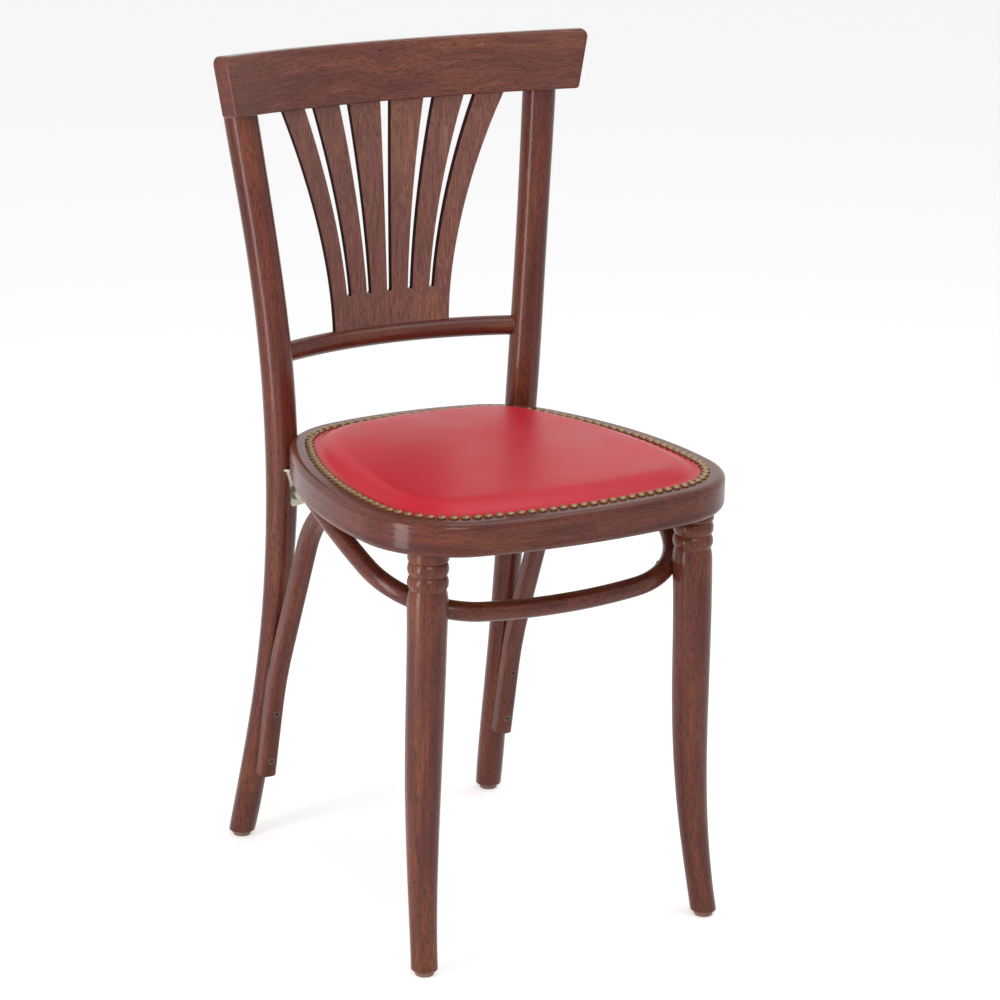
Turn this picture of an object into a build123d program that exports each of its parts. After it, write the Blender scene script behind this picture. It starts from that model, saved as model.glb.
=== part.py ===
from build123d import *
import math
import os

# Fan back bentwood chair with an upholstered seat.
# Millimetres. +Z is up, the front faces -Y, and the floor is Z = 0 under the middle of the chair.

# Seat ring: an outline of eight tangent arcs, seen from above
seat_top = 465.0
ring_height = 35.0
ring_width = 54.0
seat_front = 232.5
seat_back = 173.0
seat_half_width = 203.5
widest_y = -93.5
front_radius = 680.0
side_radius = 457.0
back_radius = 428.0
front_corner_radius = 100.0
rear_corner_radius = 102.0
ring_top_round = 7.0
ring_bottom_round = 7.0

# Seat board, foam, cover and nails
cover_inset = 17.5
cover_rebate = 2.0
cover_thickness = 1.2
board_inset = 34.0
board_thickness = 10.0
board_clearance = 0.3
slope_inset = 26.5
slope_width = 34.0
slope_rise = 12.2
slope_knee_width = 8.0
slope_knee_rise = 2.6
crown_radius = 6000.0
crown_height = 13.5
nail_inset = 20.2
nail_diameter = 10.8
nail_height = 3.2
nail_pitch = 11.4

# Back posts: each rear leg and back upright is one bent rod
post_radius = 16.9
post_angle = 47.8
post_housing = 1.3
post_foot_out = 10.5
post_foot_back = 66.8
post_shin_height = 120.0
post_shin_out = 2.7
post_shin_back = 41.9
post_knee_below_seat = 145.0
post_knee_out = -2.8
post_knee_back = 8.8
post_waist_above_seat = 82.0
post_waist_out = 6.2
post_waist_back = 2.0
post_shoulder_above_seat = 235.0
post_shoulder_out = 21.7
post_shoulder_back = 17.6
post_crest_out = 37.5
post_crest_back = 37.2
post_lap_height = 46.0
post_foot_slimmer = 3.0
post_knee_slimmer = 1.6
post_top_round = 6.0

# Top rail: a bent board lapped on the front of the posts
rail_above_seat = 327.0
rail_height = 62.0
rail_thickness = 20.0
rail_radius = 415.0
rail_lean = 7.5
rail_half_length = 199.5
rail_end_slant = 12.0
rail_lap = 8.7
rail_corner_round = 8.0
rail_foot_round = 4.0
rail_edge_round = 3.0

# Fan splat: a bent board cut into six ribs
splat_thickness = 6.5
splat_tongue = 10.0
splat_foot_half = 67.8
splat_crest_half = 129.0
fan_curve = 1.75
fan_steps = 6
splat_trim = 26.0
slot_foot_half = 2.6
slot_crest_half = 6.2
slot_rise = 37.0
inner_slot_foot = 23.5
inner_slot_crest = 50.0
outer_slot_foot = 47.5
outer_slot_crest = 94.2

# Lower back rail
low_rail_above_seat = 81.5
low_rail_radius = 10.4
low_rail_bow = 30.6
low_rail_tenon_radius = 6.5

# Front legs
leg_inset = 29.0
leg_angle = -44.5
leg_radius = 20.4
leg_tenon_radius = 12.0
leg_tenon_height = 20.0
collar_height = 11.5
collar_round_drop = 3.1
bead_height = 14.0
shoulder_height = 14.5
groove_depth = 2.2
leg_lean_out = 1.0
leg_lean_forward = 0.9
leg_kick_height = 200.0
leg_kick_out = 5.7
leg_kick_forward = 22.0
leg_foot_slimmer = 7.0
leg_ankle_height = 60.0
leg_ankle_slimmer = 6.3
leg_calf_height = 120.0
leg_calf_slimmer = 4.5
leg_knee_height = 180.0
leg_knee_slimmer = 2.7
leg_thigh_height = 250.0
leg_thigh_slimmer = 1.4

# Leg hoop: a bent rod behind the front legs that rises into the seat ring
hoop_radius = 9.9
hoop_leg_drop = 75.0
hoop_slope = 23.0
hoop_side_inset = 25.0
hoop_widest_y = 2.5
hoop_front_radius = 620.0
hoop_corner_radius = 101.0
hoop_side_radius = 1000.0
hoop_housing = 0.8
hoop_end_y = 23.5

# Rear braces: bent square bars from the rear legs to the seat ring
brace_size = 19.0
brace_round = 6.0
brace_foot_height = 82.0
brace_leave_drop = 235.0
brace_sweep = 88.0
brace_tail = 80.0
brace_knee_radius = 400.0
brace_bend_radius = 100.0
brace_housing = 1.6
brace_splay = 0.6
brace_inset = 0.7

# Seat brackets
bracket_thickness = 2.5
bracket_width = 22.0
bracket_waist_width = 16.0
bracket_height = 42.0
bracket_reach = 36.0
bracket_skew = 8.0
bracket_turn = 14.5
bracket_housing = 1.5
bracket_bend_round = 2.0
bracket_corner_round = 3.6

# Fastenings
screw_head_diameter = 8.0
screw_head_depth = 2.4
screw_shank_diameter = 4.0
plug_depth = 4.0
rail_screw_spacing = 24.0
rail_screw_bite = 12.0
board_screw_bite = 16.0
board_screw_edge = 9.0
board_screw_front_x = 70.0
board_screw_side_y = -37.5
board_screw_back_x = 45.0
hoop_leg_bite = 13.0
hoop_ring_bite = 16.0
hoop_screw_setback = 30.0
brace_leg_bite = 10.0
brace_ring_bite = 16.0
brace_screw_low = 19.0
brace_screw_below_knee = 2.0
bracket_screw_bite = 14.0
bracket_screw_first = 15.0
bracket_screw_spacing = 13.0
bolt_drop = 28.0
bolt_shank_diameter = 6.0
bolt_bite = 22.0
bolt_flats = 13.0
bolt_head_height = 5.0
head_stand = 0.2

# Foot glides
glide_diameter = 19.0
glide_height = 5.0
glide_round = 1.5
pin_diameter = 3.0
pin_bite = 12.0
pin_sink = 2.0
foot_chamfer = 1.5

ring_bottom = seat_top - ring_height
seat_level = seat_top - ring_height / 2
ledge_top = seat_top - cover_rebate
board_bottom = ledge_top - board_thickness
os.makedirs("parts", exist_ok=True)


def touching_centre(first, first_reach, second, second_reach):
    """Right-hand point at given distances from two centres."""
    dx = second[0] - first[0]
    dy = second[1] - first[1]
    apart = math.hypot(dx, dy)
    along = (first_reach**2 - second_reach**2 + apart**2) / (2 * apart)
    aside = math.sqrt(first_reach**2 - along**2)
    options = []
    for side in (1, -1):
        x = first[0] + (along * dx - side * aside * dy) / apart
        y = first[1] + (along * dy + side * aside * dx) / apart
        options.append((x, y))
    return max(options)


def on_circle(centre, radius, towards):
    """Point of a circle in the direction of another point."""
    dx = towards[0] - centre[0]
    dy = towards[1] - centre[1]
    reach = radius / math.hypot(dx, dy)
    return (centre[0] + dx * reach, centre[1] + dy * reach)


def mirrored(point):
    """The same point on the left half."""
    return (-point[0], point[1])


def both_sides(shape):
    """A right-hand solid and its mirror image."""
    return [shape, mirror(shape, about=Plane.YZ)]


def short_arc(centre, radius, start, end):
    """Arc round a centre by way of the middle of its two ends."""
    halfway = ((start[0] + end[0]) / 2, (start[1] + end[1]) / 2)
    return ThreePointArc(start, on_circle(centre, radius, halfway), end)


# Centres of the seat outline's arcs
front_centre = (0.0, front_radius - seat_front)
back_centre = (0.0, seat_back - back_radius)
side_centre = (seat_half_width - side_radius, widest_y)
front_corner = touching_centre(
    front_centre, front_radius - front_corner_radius, side_centre, side_radius - front_corner_radius
)
rear_corner = touching_centre(
    back_centre, back_radius - rear_corner_radius, side_centre, side_radius - rear_corner_radius
)


def seat_wire(inset):
    """Closed seat outline moved inwards, from the left end of the front arc."""
    front_end = on_circle(front_centre, front_radius - inset, front_corner)
    side_start = on_circle(side_centre, side_radius - inset, front_corner)
    side_end = on_circle(side_centre, side_radius - inset, rear_corner)
    back_start = on_circle(back_centre, back_radius - inset, rear_corner)
    with BuildLine() as outline:
        ThreePointArc(mirrored(front_end), (0, inset - seat_front), front_end)
        short_arc(front_corner, front_corner_radius - inset, front_end, side_start)
        short_arc(side_centre, side_radius - inset, side_start, side_end)
        short_arc(rear_corner, rear_corner_radius - inset, side_end, back_start)
        ThreePointArc(back_start, (0, seat_back - inset), mirrored(back_start))
        short_arc(
            mirrored(rear_corner), rear_corner_radius - inset, mirrored(back_start), mirrored(side_end)
        )
        short_arc(mirrored(side_centre), side_radius - inset, mirrored(side_end), mirrored(side_start))
        short_arc(
            mirrored(front_corner), front_corner_radius - inset, mirrored(side_start), mirrored(front_end)
        )
    return outline.wires()[0]


def seat_face(inset):
    """Face inside the seat outline."""
    with BuildSketch() as face:
        with BuildLine():
            add(seat_wire(inset))
        make_face()
    return face.sketch


def wood_screw(place, length):
    """Countersunk screw whose head lies on the plane and faces its normal."""
    with BuildPart() as screw:
        with BuildSketch(place):
            Circle(screw_head_diameter / 2)
        with BuildSketch(place.offset(-screw_head_depth)):
            Circle(screw_shank_diameter / 2)
        loft()
        with BuildSketch(place.offset(-screw_head_depth)):
            Circle(screw_shank_diameter / 2)
        extrude(amount=screw_head_depth - length)
    return screw.part


def rod(path, radius):
    """Round bar along a path."""
    with BuildPart() as bar:
        with BuildSketch(Plane(origin=path @ 0, z_dir=path % 0)):
            Circle(radius)
        sweep(path=path)
    return bar.part


def bent_board(plane, radius, thickness, half_turn, height):
    """Board bent round the axis that stands a radius in front of the plane's origin."""
    outer = radius + thickness
    sine = math.sin(half_turn)
    cosine = math.cos(half_turn)
    inner_end = (radius * sine, radius * cosine - radius)
    outer_end = (outer * sine, outer * cosine - radius)
    with BuildPart() as board:
        with BuildSketch(plane):
            with BuildLine():
                ThreePointArc(mirrored(inner_end), (0, 0), inner_end)
                Line(inner_end, outer_end)
                ThreePointArc(outer_end, (0, thickness), mirrored(outer_end))
                Line(mirrored(outer_end), mirrored(inner_end))
            make_face()
        extrude(amount=height)
    return board.part


# Right back post: a rod that touches the rear corner of the seat ring at the seat's level
rail_bottom = seat_top + rail_above_seat
post_reach = rear_corner_radius + post_radius - post_housing
post_x = rear_corner[0] + post_reach * math.cos(math.radians(post_angle))
post_y = rear_corner[1] + post_reach * math.sin(math.radians(post_angle))
post_stations = [
    (glide_height, post_foot_out, post_foot_back, post_foot_slimmer),
    (post_shin_height, post_shin_out, post_shin_back, post_foot_slimmer),
    (seat_top - post_knee_below_seat, post_knee_out, post_knee_back, post_knee_slimmer),
    (seat_level, 0.0, 0.0, 0.0),
    (seat_top + post_waist_above_seat, post_waist_out, post_waist_back, 0.0),
    (seat_top + post_shoulder_above_seat, post_shoulder_out, post_shoulder_back, 0.0),
    (rail_bottom + post_lap_height, post_crest_out, post_crest_back, 0.0),
]

with BuildPart() as post_blank:
    for height, out, back, slimmer in post_stations:
        with BuildSketch(Plane.XY.offset(height)):
            with Locations((post_x + out, post_y + back)):
                Circle(post_radius - slimmer)
    loft()
    fillet(post_blank.faces().sort_by(Axis.Z)[-1].edges(), post_top_round)
    chamfer(post_blank.faces().sort_by(Axis.Z)[0].edges(), foot_chamfer)
post_blanks = both_sides(post_blank.part)


def post_slice(height):
    """Centre and radius of the right post at a height."""
    cut = section(post_blank.part, section_by=Plane.XY.offset(height), mode=Mode.PRIVATE)
    box = cut.bounding_box()
    return box.center(), box.size.X / 2


# Top rail, set so that its back lies a lap in front of the posts' centre lines
lap_centre = post_slice(rail_bottom + post_lap_height / 2)[0]
lean = math.radians(rail_lean)
back_reach = rail_radius + rail_thickness + rail_lap
lap_depth = math.sqrt(back_reach**2 - lap_centre.X**2) - rail_radius
rail_y = lap_centre.Y - (lap_depth + post_lap_height / 2 * math.sin(lean)) / math.cos(lean)
rail_plane = Plane(
    origin=(0, rail_y, rail_bottom),
    x_dir=(1, 0, 0),
    z_dir=(0, math.sin(lean), math.cos(lean)),
)
end_turn = math.asin(rail_half_length / rail_radius)
end_slant = math.radians(rail_end_slant)
end_corner = rail_plane.from_local_coords(
    Vector(rail_half_length, rail_radius * math.cos(end_turn) - rail_radius, 0)
)
end_along = Vector(math.cos(end_turn), 0, 0) - rail_plane.y_dir * math.sin(end_turn)
end_normal = end_along * math.cos(end_slant) - rail_plane.z_dir * math.sin(end_slant)
spare_turn = end_turn + 2 * rail_height * math.tan(end_slant) / rail_radius

with BuildPart() as rail_blank:
    add(bent_board(rail_plane, rail_radius, rail_thickness, spare_turn, rail_height))
    for side in (1, -1):
        cut_plane = Plane(
            origin=(side * end_corner.X, end_corner.Y, end_corner.Z),
            z_dir=(side * end_normal.X, end_normal.Y, end_normal.Z),
        )
        split(bisect_by=cut_plane, keep=Keep.BOTTOM)
    for end_face in (rail_blank.faces().sort_by(Axis.X)[0], rail_blank.faces().sort_by(Axis.X)[-1]):
        corners = end_face.edges().filter_by(lambda edge: edge.length < rail_height / 2).sort_by(Axis.Z)
        fillet(corners[-1], rail_corner_round)
        fillet(corners[0], rail_foot_round)
    broad_faces = rail_blank.faces().sort_by(SortBy.AREA)[-2:]
    fillet(broad_faces.edges(), rail_edge_round)

# Lower back rail's line: level, bowed backwards between the posts
low_rail_z = seat_top + low_rail_above_seat
low_centre = post_slice(low_rail_z)[0]
low_rail_line = ThreePointArc(
    (-low_centre.X, low_centre.Y, low_rail_z),
    (0, low_centre.Y + low_rail_bow, low_rail_z),
    (low_centre.X, low_centre.Y, low_rail_z),
)

# Fan splat, mortised into both rails
splat_foot = low_rail_z + low_rail_radius
splat_low = splat_foot - splat_tongue
splat_high = rail_bottom + splat_tongue
splat_rise = rail_bottom - splat_foot
splat_foot_y = low_centre.Y + low_rail_bow
splat_crest_y = rail_y + rail_thickness / 2
splat_lean = math.atan2(splat_crest_y - splat_foot_y, rail_bottom - low_rail_z)
splat_radius = rail_radius + rail_thickness / 2 - splat_thickness / 2
splat_plane = Plane(
    origin=(0, splat_foot_y - splat_thickness / 2, low_rail_z),
    x_dir=(1, 0, 0),
    z_dir=(0, math.sin(splat_lean), math.cos(splat_lean)),
)
slots = [
    (0.0, 0.0),
    (inner_slot_foot, inner_slot_crest),
    (-inner_slot_foot, -inner_slot_crest),
    (outer_slot_foot, outer_slot_crest),
    (-outer_slot_foot, -outer_slot_crest),
]


def fan(foot, crest, height):
    """Flared distance from the middle at a height, in a curve that opens upwards."""
    share = (height - splat_foot) / splat_rise
    return foot + (crest - foot) * share**fan_curve


def climb(start):
    """Heights of a fan line's points, up to the end of the tongue."""
    rise = (splat_high - start) / fan_steps
    return [start + rise * step for step in range(fan_steps + 1)]


with BuildPart() as fan_splat:
    with BuildSketch(Plane.XZ):
        with BuildLine():
            flare = Spline(*[(fan(splat_foot_half, splat_crest_half, z), z) for z in climb(splat_foot)])
            Line((splat_foot_half, splat_low), flare @ 0)
            Line((0, splat_low), (splat_foot_half, splat_low))
            Line(flare @ 1, (0, splat_high))
            mirror(about=Plane.YZ)
        make_face()
        for foot, crest in slots:
            slot_foot = splat_foot + slot_rise
            near = []
            far = []
            for z in climb(slot_foot):
                middle = fan(foot, crest, z)
                half = fan(slot_foot_half, slot_crest_half, z)
                near.append((middle - half, z))
                far.append((middle + half, z))
            with BuildLine():
                Spline(*near)
                Spline(*far)
                Line(near[-1], far[-1])
                low_point = ((near[0][0] + far[0][0]) / 2, slot_foot - (far[0][0] - near[0][0]) / 2)
                ThreePointArc(near[0], low_point, far[0])
            make_face(mode=Mode.SUBTRACT)
    extrude(amount=seat_back + seat_front, both=True)
    below = splat_plane.offset(-splat_trim)
    board_length = splat_high - splat_low + 2 * splat_trim
    board_turn = math.asin((splat_crest_half + splat_trim) / splat_radius)
    add(bent_board(below, splat_radius, splat_thickness, board_turn, board_length), mode=Mode.INTERSECT)

with BuildPart() as lower_back_rail:
    add(rod(low_rail_line, low_rail_radius))
    for blank in post_blanks:
        add(blank, mode=Mode.SUBTRACT)
    add(rod(low_rail_line, low_rail_tenon_radius))
    add(fan_splat.part, mode=Mode.SUBTRACT)

# Screws through the posts' backs into the top rail, under wood plugs
rail_screw_parts = []
rail_plug_parts = []
for step in (-0.5, 0.5):
    height = rail_bottom + post_lap_height / 2 + step * rail_screw_spacing
    centre, radius = post_slice(height)
    inward = rail_plane.from_local_coords(Vector(0, -rail_radius, 0)) - centre
    inward = Vector(inward.X, inward.Y, 0).normalized()
    surface = Plane(origin=centre - inward * radius, z_dir=-inward)
    seat = surface.offset(-plug_depth)
    rail_screw_parts += both_sides(wood_screw(seat, radius - plug_depth + rail_lap + rail_screw_bite))
    with BuildPart() as plug:
        with BuildSketch(seat):
            Circle(screw_head_diameter / 2)
        extrude(amount=plug_depth * 2)
        add(post_blank.part, mode=Mode.INTERSECT)
    rail_plug_parts += both_sides(plug.part)

with BuildPart() as rail_screws:
    add(rail_screw_parts)

with BuildPart() as rail_plugs:
    add(rail_plug_parts)

with BuildPart() as top_rail:
    add(rail_blank.part)
    add(fan_splat.part, mode=Mode.SUBTRACT)
    add(rail_screws.part, mode=Mode.SUBTRACT)

# Front leg: turned beads under the seat ring, then a slim shaft that kicks forward to the foot
leg_x = front_corner[0] + (front_corner_radius - leg_inset) * math.cos(math.radians(leg_angle))
leg_y = front_corner[1] + (front_corner_radius - leg_inset) * math.sin(math.radians(leg_angle))
shaft_top = ring_bottom - collar_height - 2 * bead_height - shoulder_height
groove_radius = leg_radius - groove_depth
leg_stations = [
    (shaft_top, 0.0),
    (leg_thigh_height, leg_thigh_slimmer),
    (leg_knee_height, leg_knee_slimmer),
    (leg_calf_height, leg_calf_slimmer),
    (leg_ankle_height, leg_ankle_slimmer),
    (glide_height, leg_foot_slimmer),
]


def leg_centre(height):
    """Centre of the right front leg at a height below its turned top."""
    drop = shaft_top - height
    kick = max(0.0, 1 - height / leg_kick_height) ** 2
    x = leg_x + drop * math.tan(math.radians(leg_lean_out)) + leg_kick_out * kick
    y = leg_y - drop * math.tan(math.radians(leg_lean_forward)) - leg_kick_forward * kick
    return (x, y)


with BuildPart() as leg_blank:
    for height, slimmer in leg_stations:
        with BuildSketch(Plane.XY.offset(height)):
            with Locations(leg_centre(height)):
                Circle(leg_radius - slimmer)
    loft()
    chamfer(leg_blank.faces().sort_by(Axis.Z)[0].edges(), foot_chamfer)
    with BuildSketch(Plane(origin=(leg_x, leg_y, ring_bottom), x_dir=(1, 0, 0), z_dir=(0, -1, 0))):
        with BuildLine():
            collar_end = -collar_height
            bead_end = collar_end - bead_height
            beads_end = bead_end - bead_height
            turned_end = beads_end - shoulder_height
            rounding = collar_height - collar_round_drop
            Polyline((0, turned_end), (0, 0), (leg_radius, 0), (leg_radius, -rounding))
            TangentArc((leg_radius, -rounding), (groove_radius, collar_end), tangent=(0, -1))
            upper_crest = (leg_radius, collar_end - bead_height / 2)
            lower_crest = (leg_radius, bead_end - bead_height / 2)
            ThreePointArc((groove_radius, collar_end), upper_crest, (groove_radius, bead_end))
            ThreePointArc((groove_radius, bead_end), lower_crest, (groove_radius, beads_end))
            TangentArc((leg_radius, turned_end), (groove_radius, beads_end), tangent=(0, 1))
            Line((leg_radius, turned_end), (0, turned_end))
        make_face()
    revolve(axis=Axis((leg_x, leg_y, ring_bottom), (0, 0, 1)))
    with BuildSketch(Plane.XY.offset(ring_bottom)):
        with Locations((leg_x, leg_y)):
            Circle(leg_tenon_radius)
    extrude(amount=leg_tenon_height)

# Leg hoop, on a plane that rises to the back; its corners lie against the inside of the legs
slope = math.radians(hoop_slope)
hoop_plane = Plane(
    origin=(0, leg_y, ring_bottom - hoop_leg_drop),
    x_dir=(1, 0, 0),
    z_dir=(0, -math.sin(slope), math.cos(slope)),
)


def along_hoop(y):
    """Distance up the hoop's plane, behind the legs."""
    return (y - leg_y) / math.cos(slope)


hoop_half_width = seat_half_width - hoop_side_inset
hoop_side_centre = (hoop_half_width - hoop_side_radius, along_hoop(hoop_widest_y))
leg_reach = hoop_corner_radius + leg_radius + hoop_radius - hoop_housing
leg_spot = (leg_x, along_hoop(leg_y))
hoop_corner = touching_centre(
    hoop_side_centre, hoop_side_radius - hoop_corner_radius, leg_spot, leg_reach
)
front_drop = math.sqrt((hoop_front_radius - hoop_corner_radius) ** 2 - hoop_corner[0] ** 2)
hoop_front_centre = (0.0, hoop_corner[1] + front_drop)
hoop_front_end = on_circle(hoop_front_centre, hoop_front_radius, hoop_corner)
hoop_side_start = on_circle(hoop_side_centre, hoop_side_radius, hoop_corner)


def hoop_side_at(y):
    """Point of the hoop's right side."""
    reach = along_hoop(y)
    aside = math.sqrt(hoop_side_radius**2 - (reach - hoop_side_centre[1]) ** 2)
    return (hoop_side_centre[0] + aside, reach)


hoop_side_end = hoop_side_at(hoop_end_y)
hoop_front = (0.0, hoop_front_centre[1] - hoop_front_radius)

with BuildLine(hoop_plane) as hoop_line:
    short_arc(hoop_front_centre, hoop_front_radius, hoop_front, hoop_front_end)
    short_arc(hoop_corner, hoop_corner_radius, hoop_front_end, hoop_side_start)
    short_arc(hoop_side_centre, hoop_side_radius, hoop_side_start, hoop_side_end)

with BuildPart() as hoop_blank:
    add(rod(hoop_line.wires()[0], hoop_radius))
hoop_blanks = both_sides(hoop_blank.part)

# Rear brace, right: it starts on the rear leg, leaves it and bends level under the seat ring
foot_centre, foot_radius = post_slice(brace_foot_height)
brace_leave_height = ring_bottom - brace_leave_drop
leave_centre, leave_radius = post_slice(brace_leave_height)
brace_x = leave_centre.X - brace_inset
brace_stand = brace_size / 2 - brace_housing
brace_foot = (foot_centre.Y - foot_radius - brace_stand, brace_foot_height - ring_bottom)
brace_leave = (leave_centre.Y - leave_radius - brace_stand, -brace_leave_drop)
brace_bend = (brace_leave[0] - brace_sweep, -brace_size / 2)
brace_tip = (brace_bend[0] - brace_tail, brace_bend[1])
splay = math.radians(brace_splay)
brace_plane = Plane(
    origin=(brace_x, 0, ring_bottom), x_dir=(0, 1, 0), z_dir=(math.cos(splay), 0, math.sin(splay))
)

with BuildLine(brace_plane) as brace_line:
    FilletPolyline(
        brace_foot, brace_leave, brace_bend, brace_tip, radius=[brace_knee_radius, brace_bend_radius]
    )

with BuildPart() as brace_blank:
    brace_path = brace_line.wires()[0]
    with BuildSketch(Plane(origin=brace_path @ 0, x_dir=brace_plane.z_dir, z_dir=brace_path % 0)):
        RectangleRounded(brace_size, brace_size, brace_round)
    sweep(path=brace_path)
    split(bisect_by=Plane.XY.offset(ring_bottom), keep=Keep.BOTTOM)

# Screws of the leg hoop: one into each leg, one up into the ring at each end
leg_way = Vector(leg_spot[0] - hoop_corner[0], leg_spot[1] - hoop_corner[1]).normalized()
hoop_touch = Vector(*hoop_corner) + leg_way * (hoop_corner_radius - hoop_radius - head_stand)
leg_direction = hoop_plane.x_dir * leg_way.X + hoop_plane.y_dir * leg_way.Y
hoop_leg_place = Plane(origin=hoop_plane.from_local_coords(hoop_touch), z_dir=-leg_direction)
hoop_leg_pair = both_sides(wood_screw(hoop_leg_place, 2 * hoop_radius + head_stand + hoop_leg_bite))
hoop_spot = hoop_plane.from_local_coords(Vector(*hoop_side_at(hoop_end_y - hoop_screw_setback)))
hoop_head_z = hoop_spot.Z - hoop_radius / math.cos(slope) - head_stand
hoop_ring_place = Plane(origin=(hoop_spot.X, hoop_spot.Y, hoop_head_z), z_dir=(0, 0, -1))
hoop_ring_pair = both_sides(wood_screw(hoop_ring_place, ring_bottom - hoop_head_z + hoop_ring_bite))

with BuildPart() as hoop_leg_screws:
    add(hoop_leg_pair)

with BuildPart() as hoop_ring_screws:
    add(hoop_ring_pair)

# Screws of the braces: two into each rear leg, one up into the ring
run_start = brace_plane.from_local_coords(Vector(*brace_foot))
run_end = brace_plane.from_local_coords(Vector(*brace_leave))
run = (run_end - run_start).normalized()
sweep_way = brace_plane.from_local_coords(Vector(*brace_bend)) - run_end
knee_share = math.tan(math.radians(run.get_angle(sweep_way)) / 2)
straight_run = (run_end - run_start).length - brace_knee_radius * knee_share
into_leg = run.cross(brace_plane.z_dir).normalized()
brace_leg_set = []
for up_run in (brace_screw_low, straight_run - brace_screw_below_knee):
    on_run = run_start + run * up_run
    head = Plane(origin=on_run - into_leg * (brace_size / 2 + head_stand), z_dir=-into_leg)
    brace_leg_set += both_sides(wood_screw(head, brace_size + head_stand + brace_leg_bite))
brace_ring_place = Plane(
    origin=(brace_x, brace_tip[0] + brace_size / 2, ring_bottom - brace_size - head_stand), z_dir=(0, 0, -1)
)
brace_ring_pair = both_sides(wood_screw(brace_ring_place, brace_size + head_stand + brace_ring_bite))

with BuildPart() as brace_leg_screws:
    add(brace_leg_set)

with BuildPart() as brace_ring_screws:
    add(brace_ring_pair)

# Seat bracket, right: a pressed angle on the front of the post, under the ring
bracket_centre, bracket_post_radius = post_slice(ring_bottom - bracket_height / 2)
turn = math.radians(bracket_turn)
facing = Vector(-math.sin(turn), -math.cos(turn), 0)
across = Vector(math.cos(turn), -math.sin(turn), 0)
bracket_spot = bracket_centre + facing * (bracket_post_radius - bracket_housing)
bracket_root = Vector(bracket_spot.X, bracket_spot.Y, ring_bottom)


def bracket_leaf(plane, length, thickness, skew):
    """Waisted leaf of the bracket along the plane's Y axis, with its far end moved along X."""
    half = bracket_width / 2
    waist = bracket_waist_width / 2
    with BuildPart() as leaf:
        with BuildSketch(plane):
            with BuildLine():
                Line((-half, 0), (half, 0))
                ThreePointArc((half, 0), (skew / 2 + waist, length / 2), (skew + half, length))
                Line((skew + half, length), (skew - half, length))
                ThreePointArc((skew - half, length), (skew / 2 - waist, length / 2), (-half, 0))
            make_face()
        extrude(amount=thickness)
        tip = leaf.faces().sort_by(Axis(plane.origin, plane.y_dir))[-1]
        fillet(leaf.edges().filter_by(Axis(plane.origin, plane.z_dir)) & tip.edges(), bracket_corner_round)
    return leaf.part


drop_plane = Plane(origin=bracket_root, x_dir=across, z_dir=-facing)
reach_plane = Plane(origin=bracket_root, x_dir=across, z_dir=(0, 0, -1))
leaf_plane = drop_plane.offset(-bracket_thickness)
bed_plane = drop_plane.offset(-post_radius)
drop_leaf = bracket_leaf(leaf_plane, bracket_height, bracket_thickness, -bracket_skew)
reach_leaf = bracket_leaf(reach_plane, bracket_reach, bracket_thickness, 0.0)
bracket_bed = bracket_leaf(bed_plane, bracket_height, post_radius, -bracket_skew)

with BuildPart() as bracket_blank:
    add([drop_leaf, reach_leaf])
    bend_edges = bracket_blank.edges().filter_by(Axis(bracket_root, across))
    fillet(bend_edges.sort_by_distance(bracket_root)[0], bracket_bend_round)

bolt_shift = across * (bracket_skew * bolt_drop / bracket_height) + Vector(0, 0, bolt_drop)
bolt_place = Plane(
    origin=bracket_root + facing * bracket_thickness - bolt_shift, x_dir=across, z_dir=facing
)
with BuildPart() as bolt:
    with BuildSketch(bolt_place):
        RegularPolygon(bolt_flats / 2, side_count=6, major_radius=False)
    extrude(amount=bolt_head_height)
    with BuildSketch(bolt_place):
        Circle(bolt_shank_diameter / 2)
    extrude(amount=-bracket_thickness - bolt_bite)
bolt_pair = both_sides(bolt.part)

bracket_screw_set = []
for step in range(2):
    along_leaf = facing * (bracket_screw_first + step * bracket_screw_spacing)
    head = reach_plane.offset(bracket_thickness + head_stand)
    head.origin = head.origin + along_leaf
    bracket_screw_set += both_sides(wood_screw(head, bracket_thickness + head_stand + bracket_screw_bite))

with BuildPart() as bracket_bolts:
    add(bolt_pair)

with BuildPart() as bracket_screws:
    add(bracket_screw_set)

with BuildPart() as seat_bracket_right:
    add(bracket_blank.part)
    add(bracket_bolts.part, mode=Mode.SUBTRACT)
    add(bracket_screws.part, mode=Mode.SUBTRACT)

# Screws that hold the seat board down on the ring's ledge
screw_inset = board_inset + board_screw_edge
board_spots = [
    (
        board_screw_front_x,
        front_centre[1] - math.sqrt((front_radius - screw_inset) ** 2 - board_screw_front_x**2),
    ),
    (
        side_centre[0] + math.sqrt((side_radius - screw_inset) ** 2 - (board_screw_side_y - widest_y) ** 2),
        board_screw_side_y,
    ),
    (
        board_screw_back_x,
        back_centre[1] + math.sqrt((back_radius - screw_inset) ** 2 - board_screw_back_x**2),
    ),
]
board_screw_set = []
for spot in board_spots:
    board_screw_set += both_sides(
        wood_screw(Plane(origin=(*spot, ledge_top)), board_thickness + board_screw_bite)
    )

with BuildPart() as board_screws:
    add(board_screw_set)

# Glides under the four feet, each on a pin
rear_foot = (post_x + post_foot_out, post_y + post_foot_back)
front_foot = leg_centre(glide_height)
foot_spots = [rear_foot, mirrored(rear_foot), front_foot, mirrored(front_foot)]

with BuildPart() as glide_pins:
    with BuildSketch(Plane.XY.offset(glide_height - pin_sink)):
        with Locations(*foot_spots):
            Circle(pin_diameter / 2)
    extrude(amount=pin_sink + pin_bite)

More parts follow.
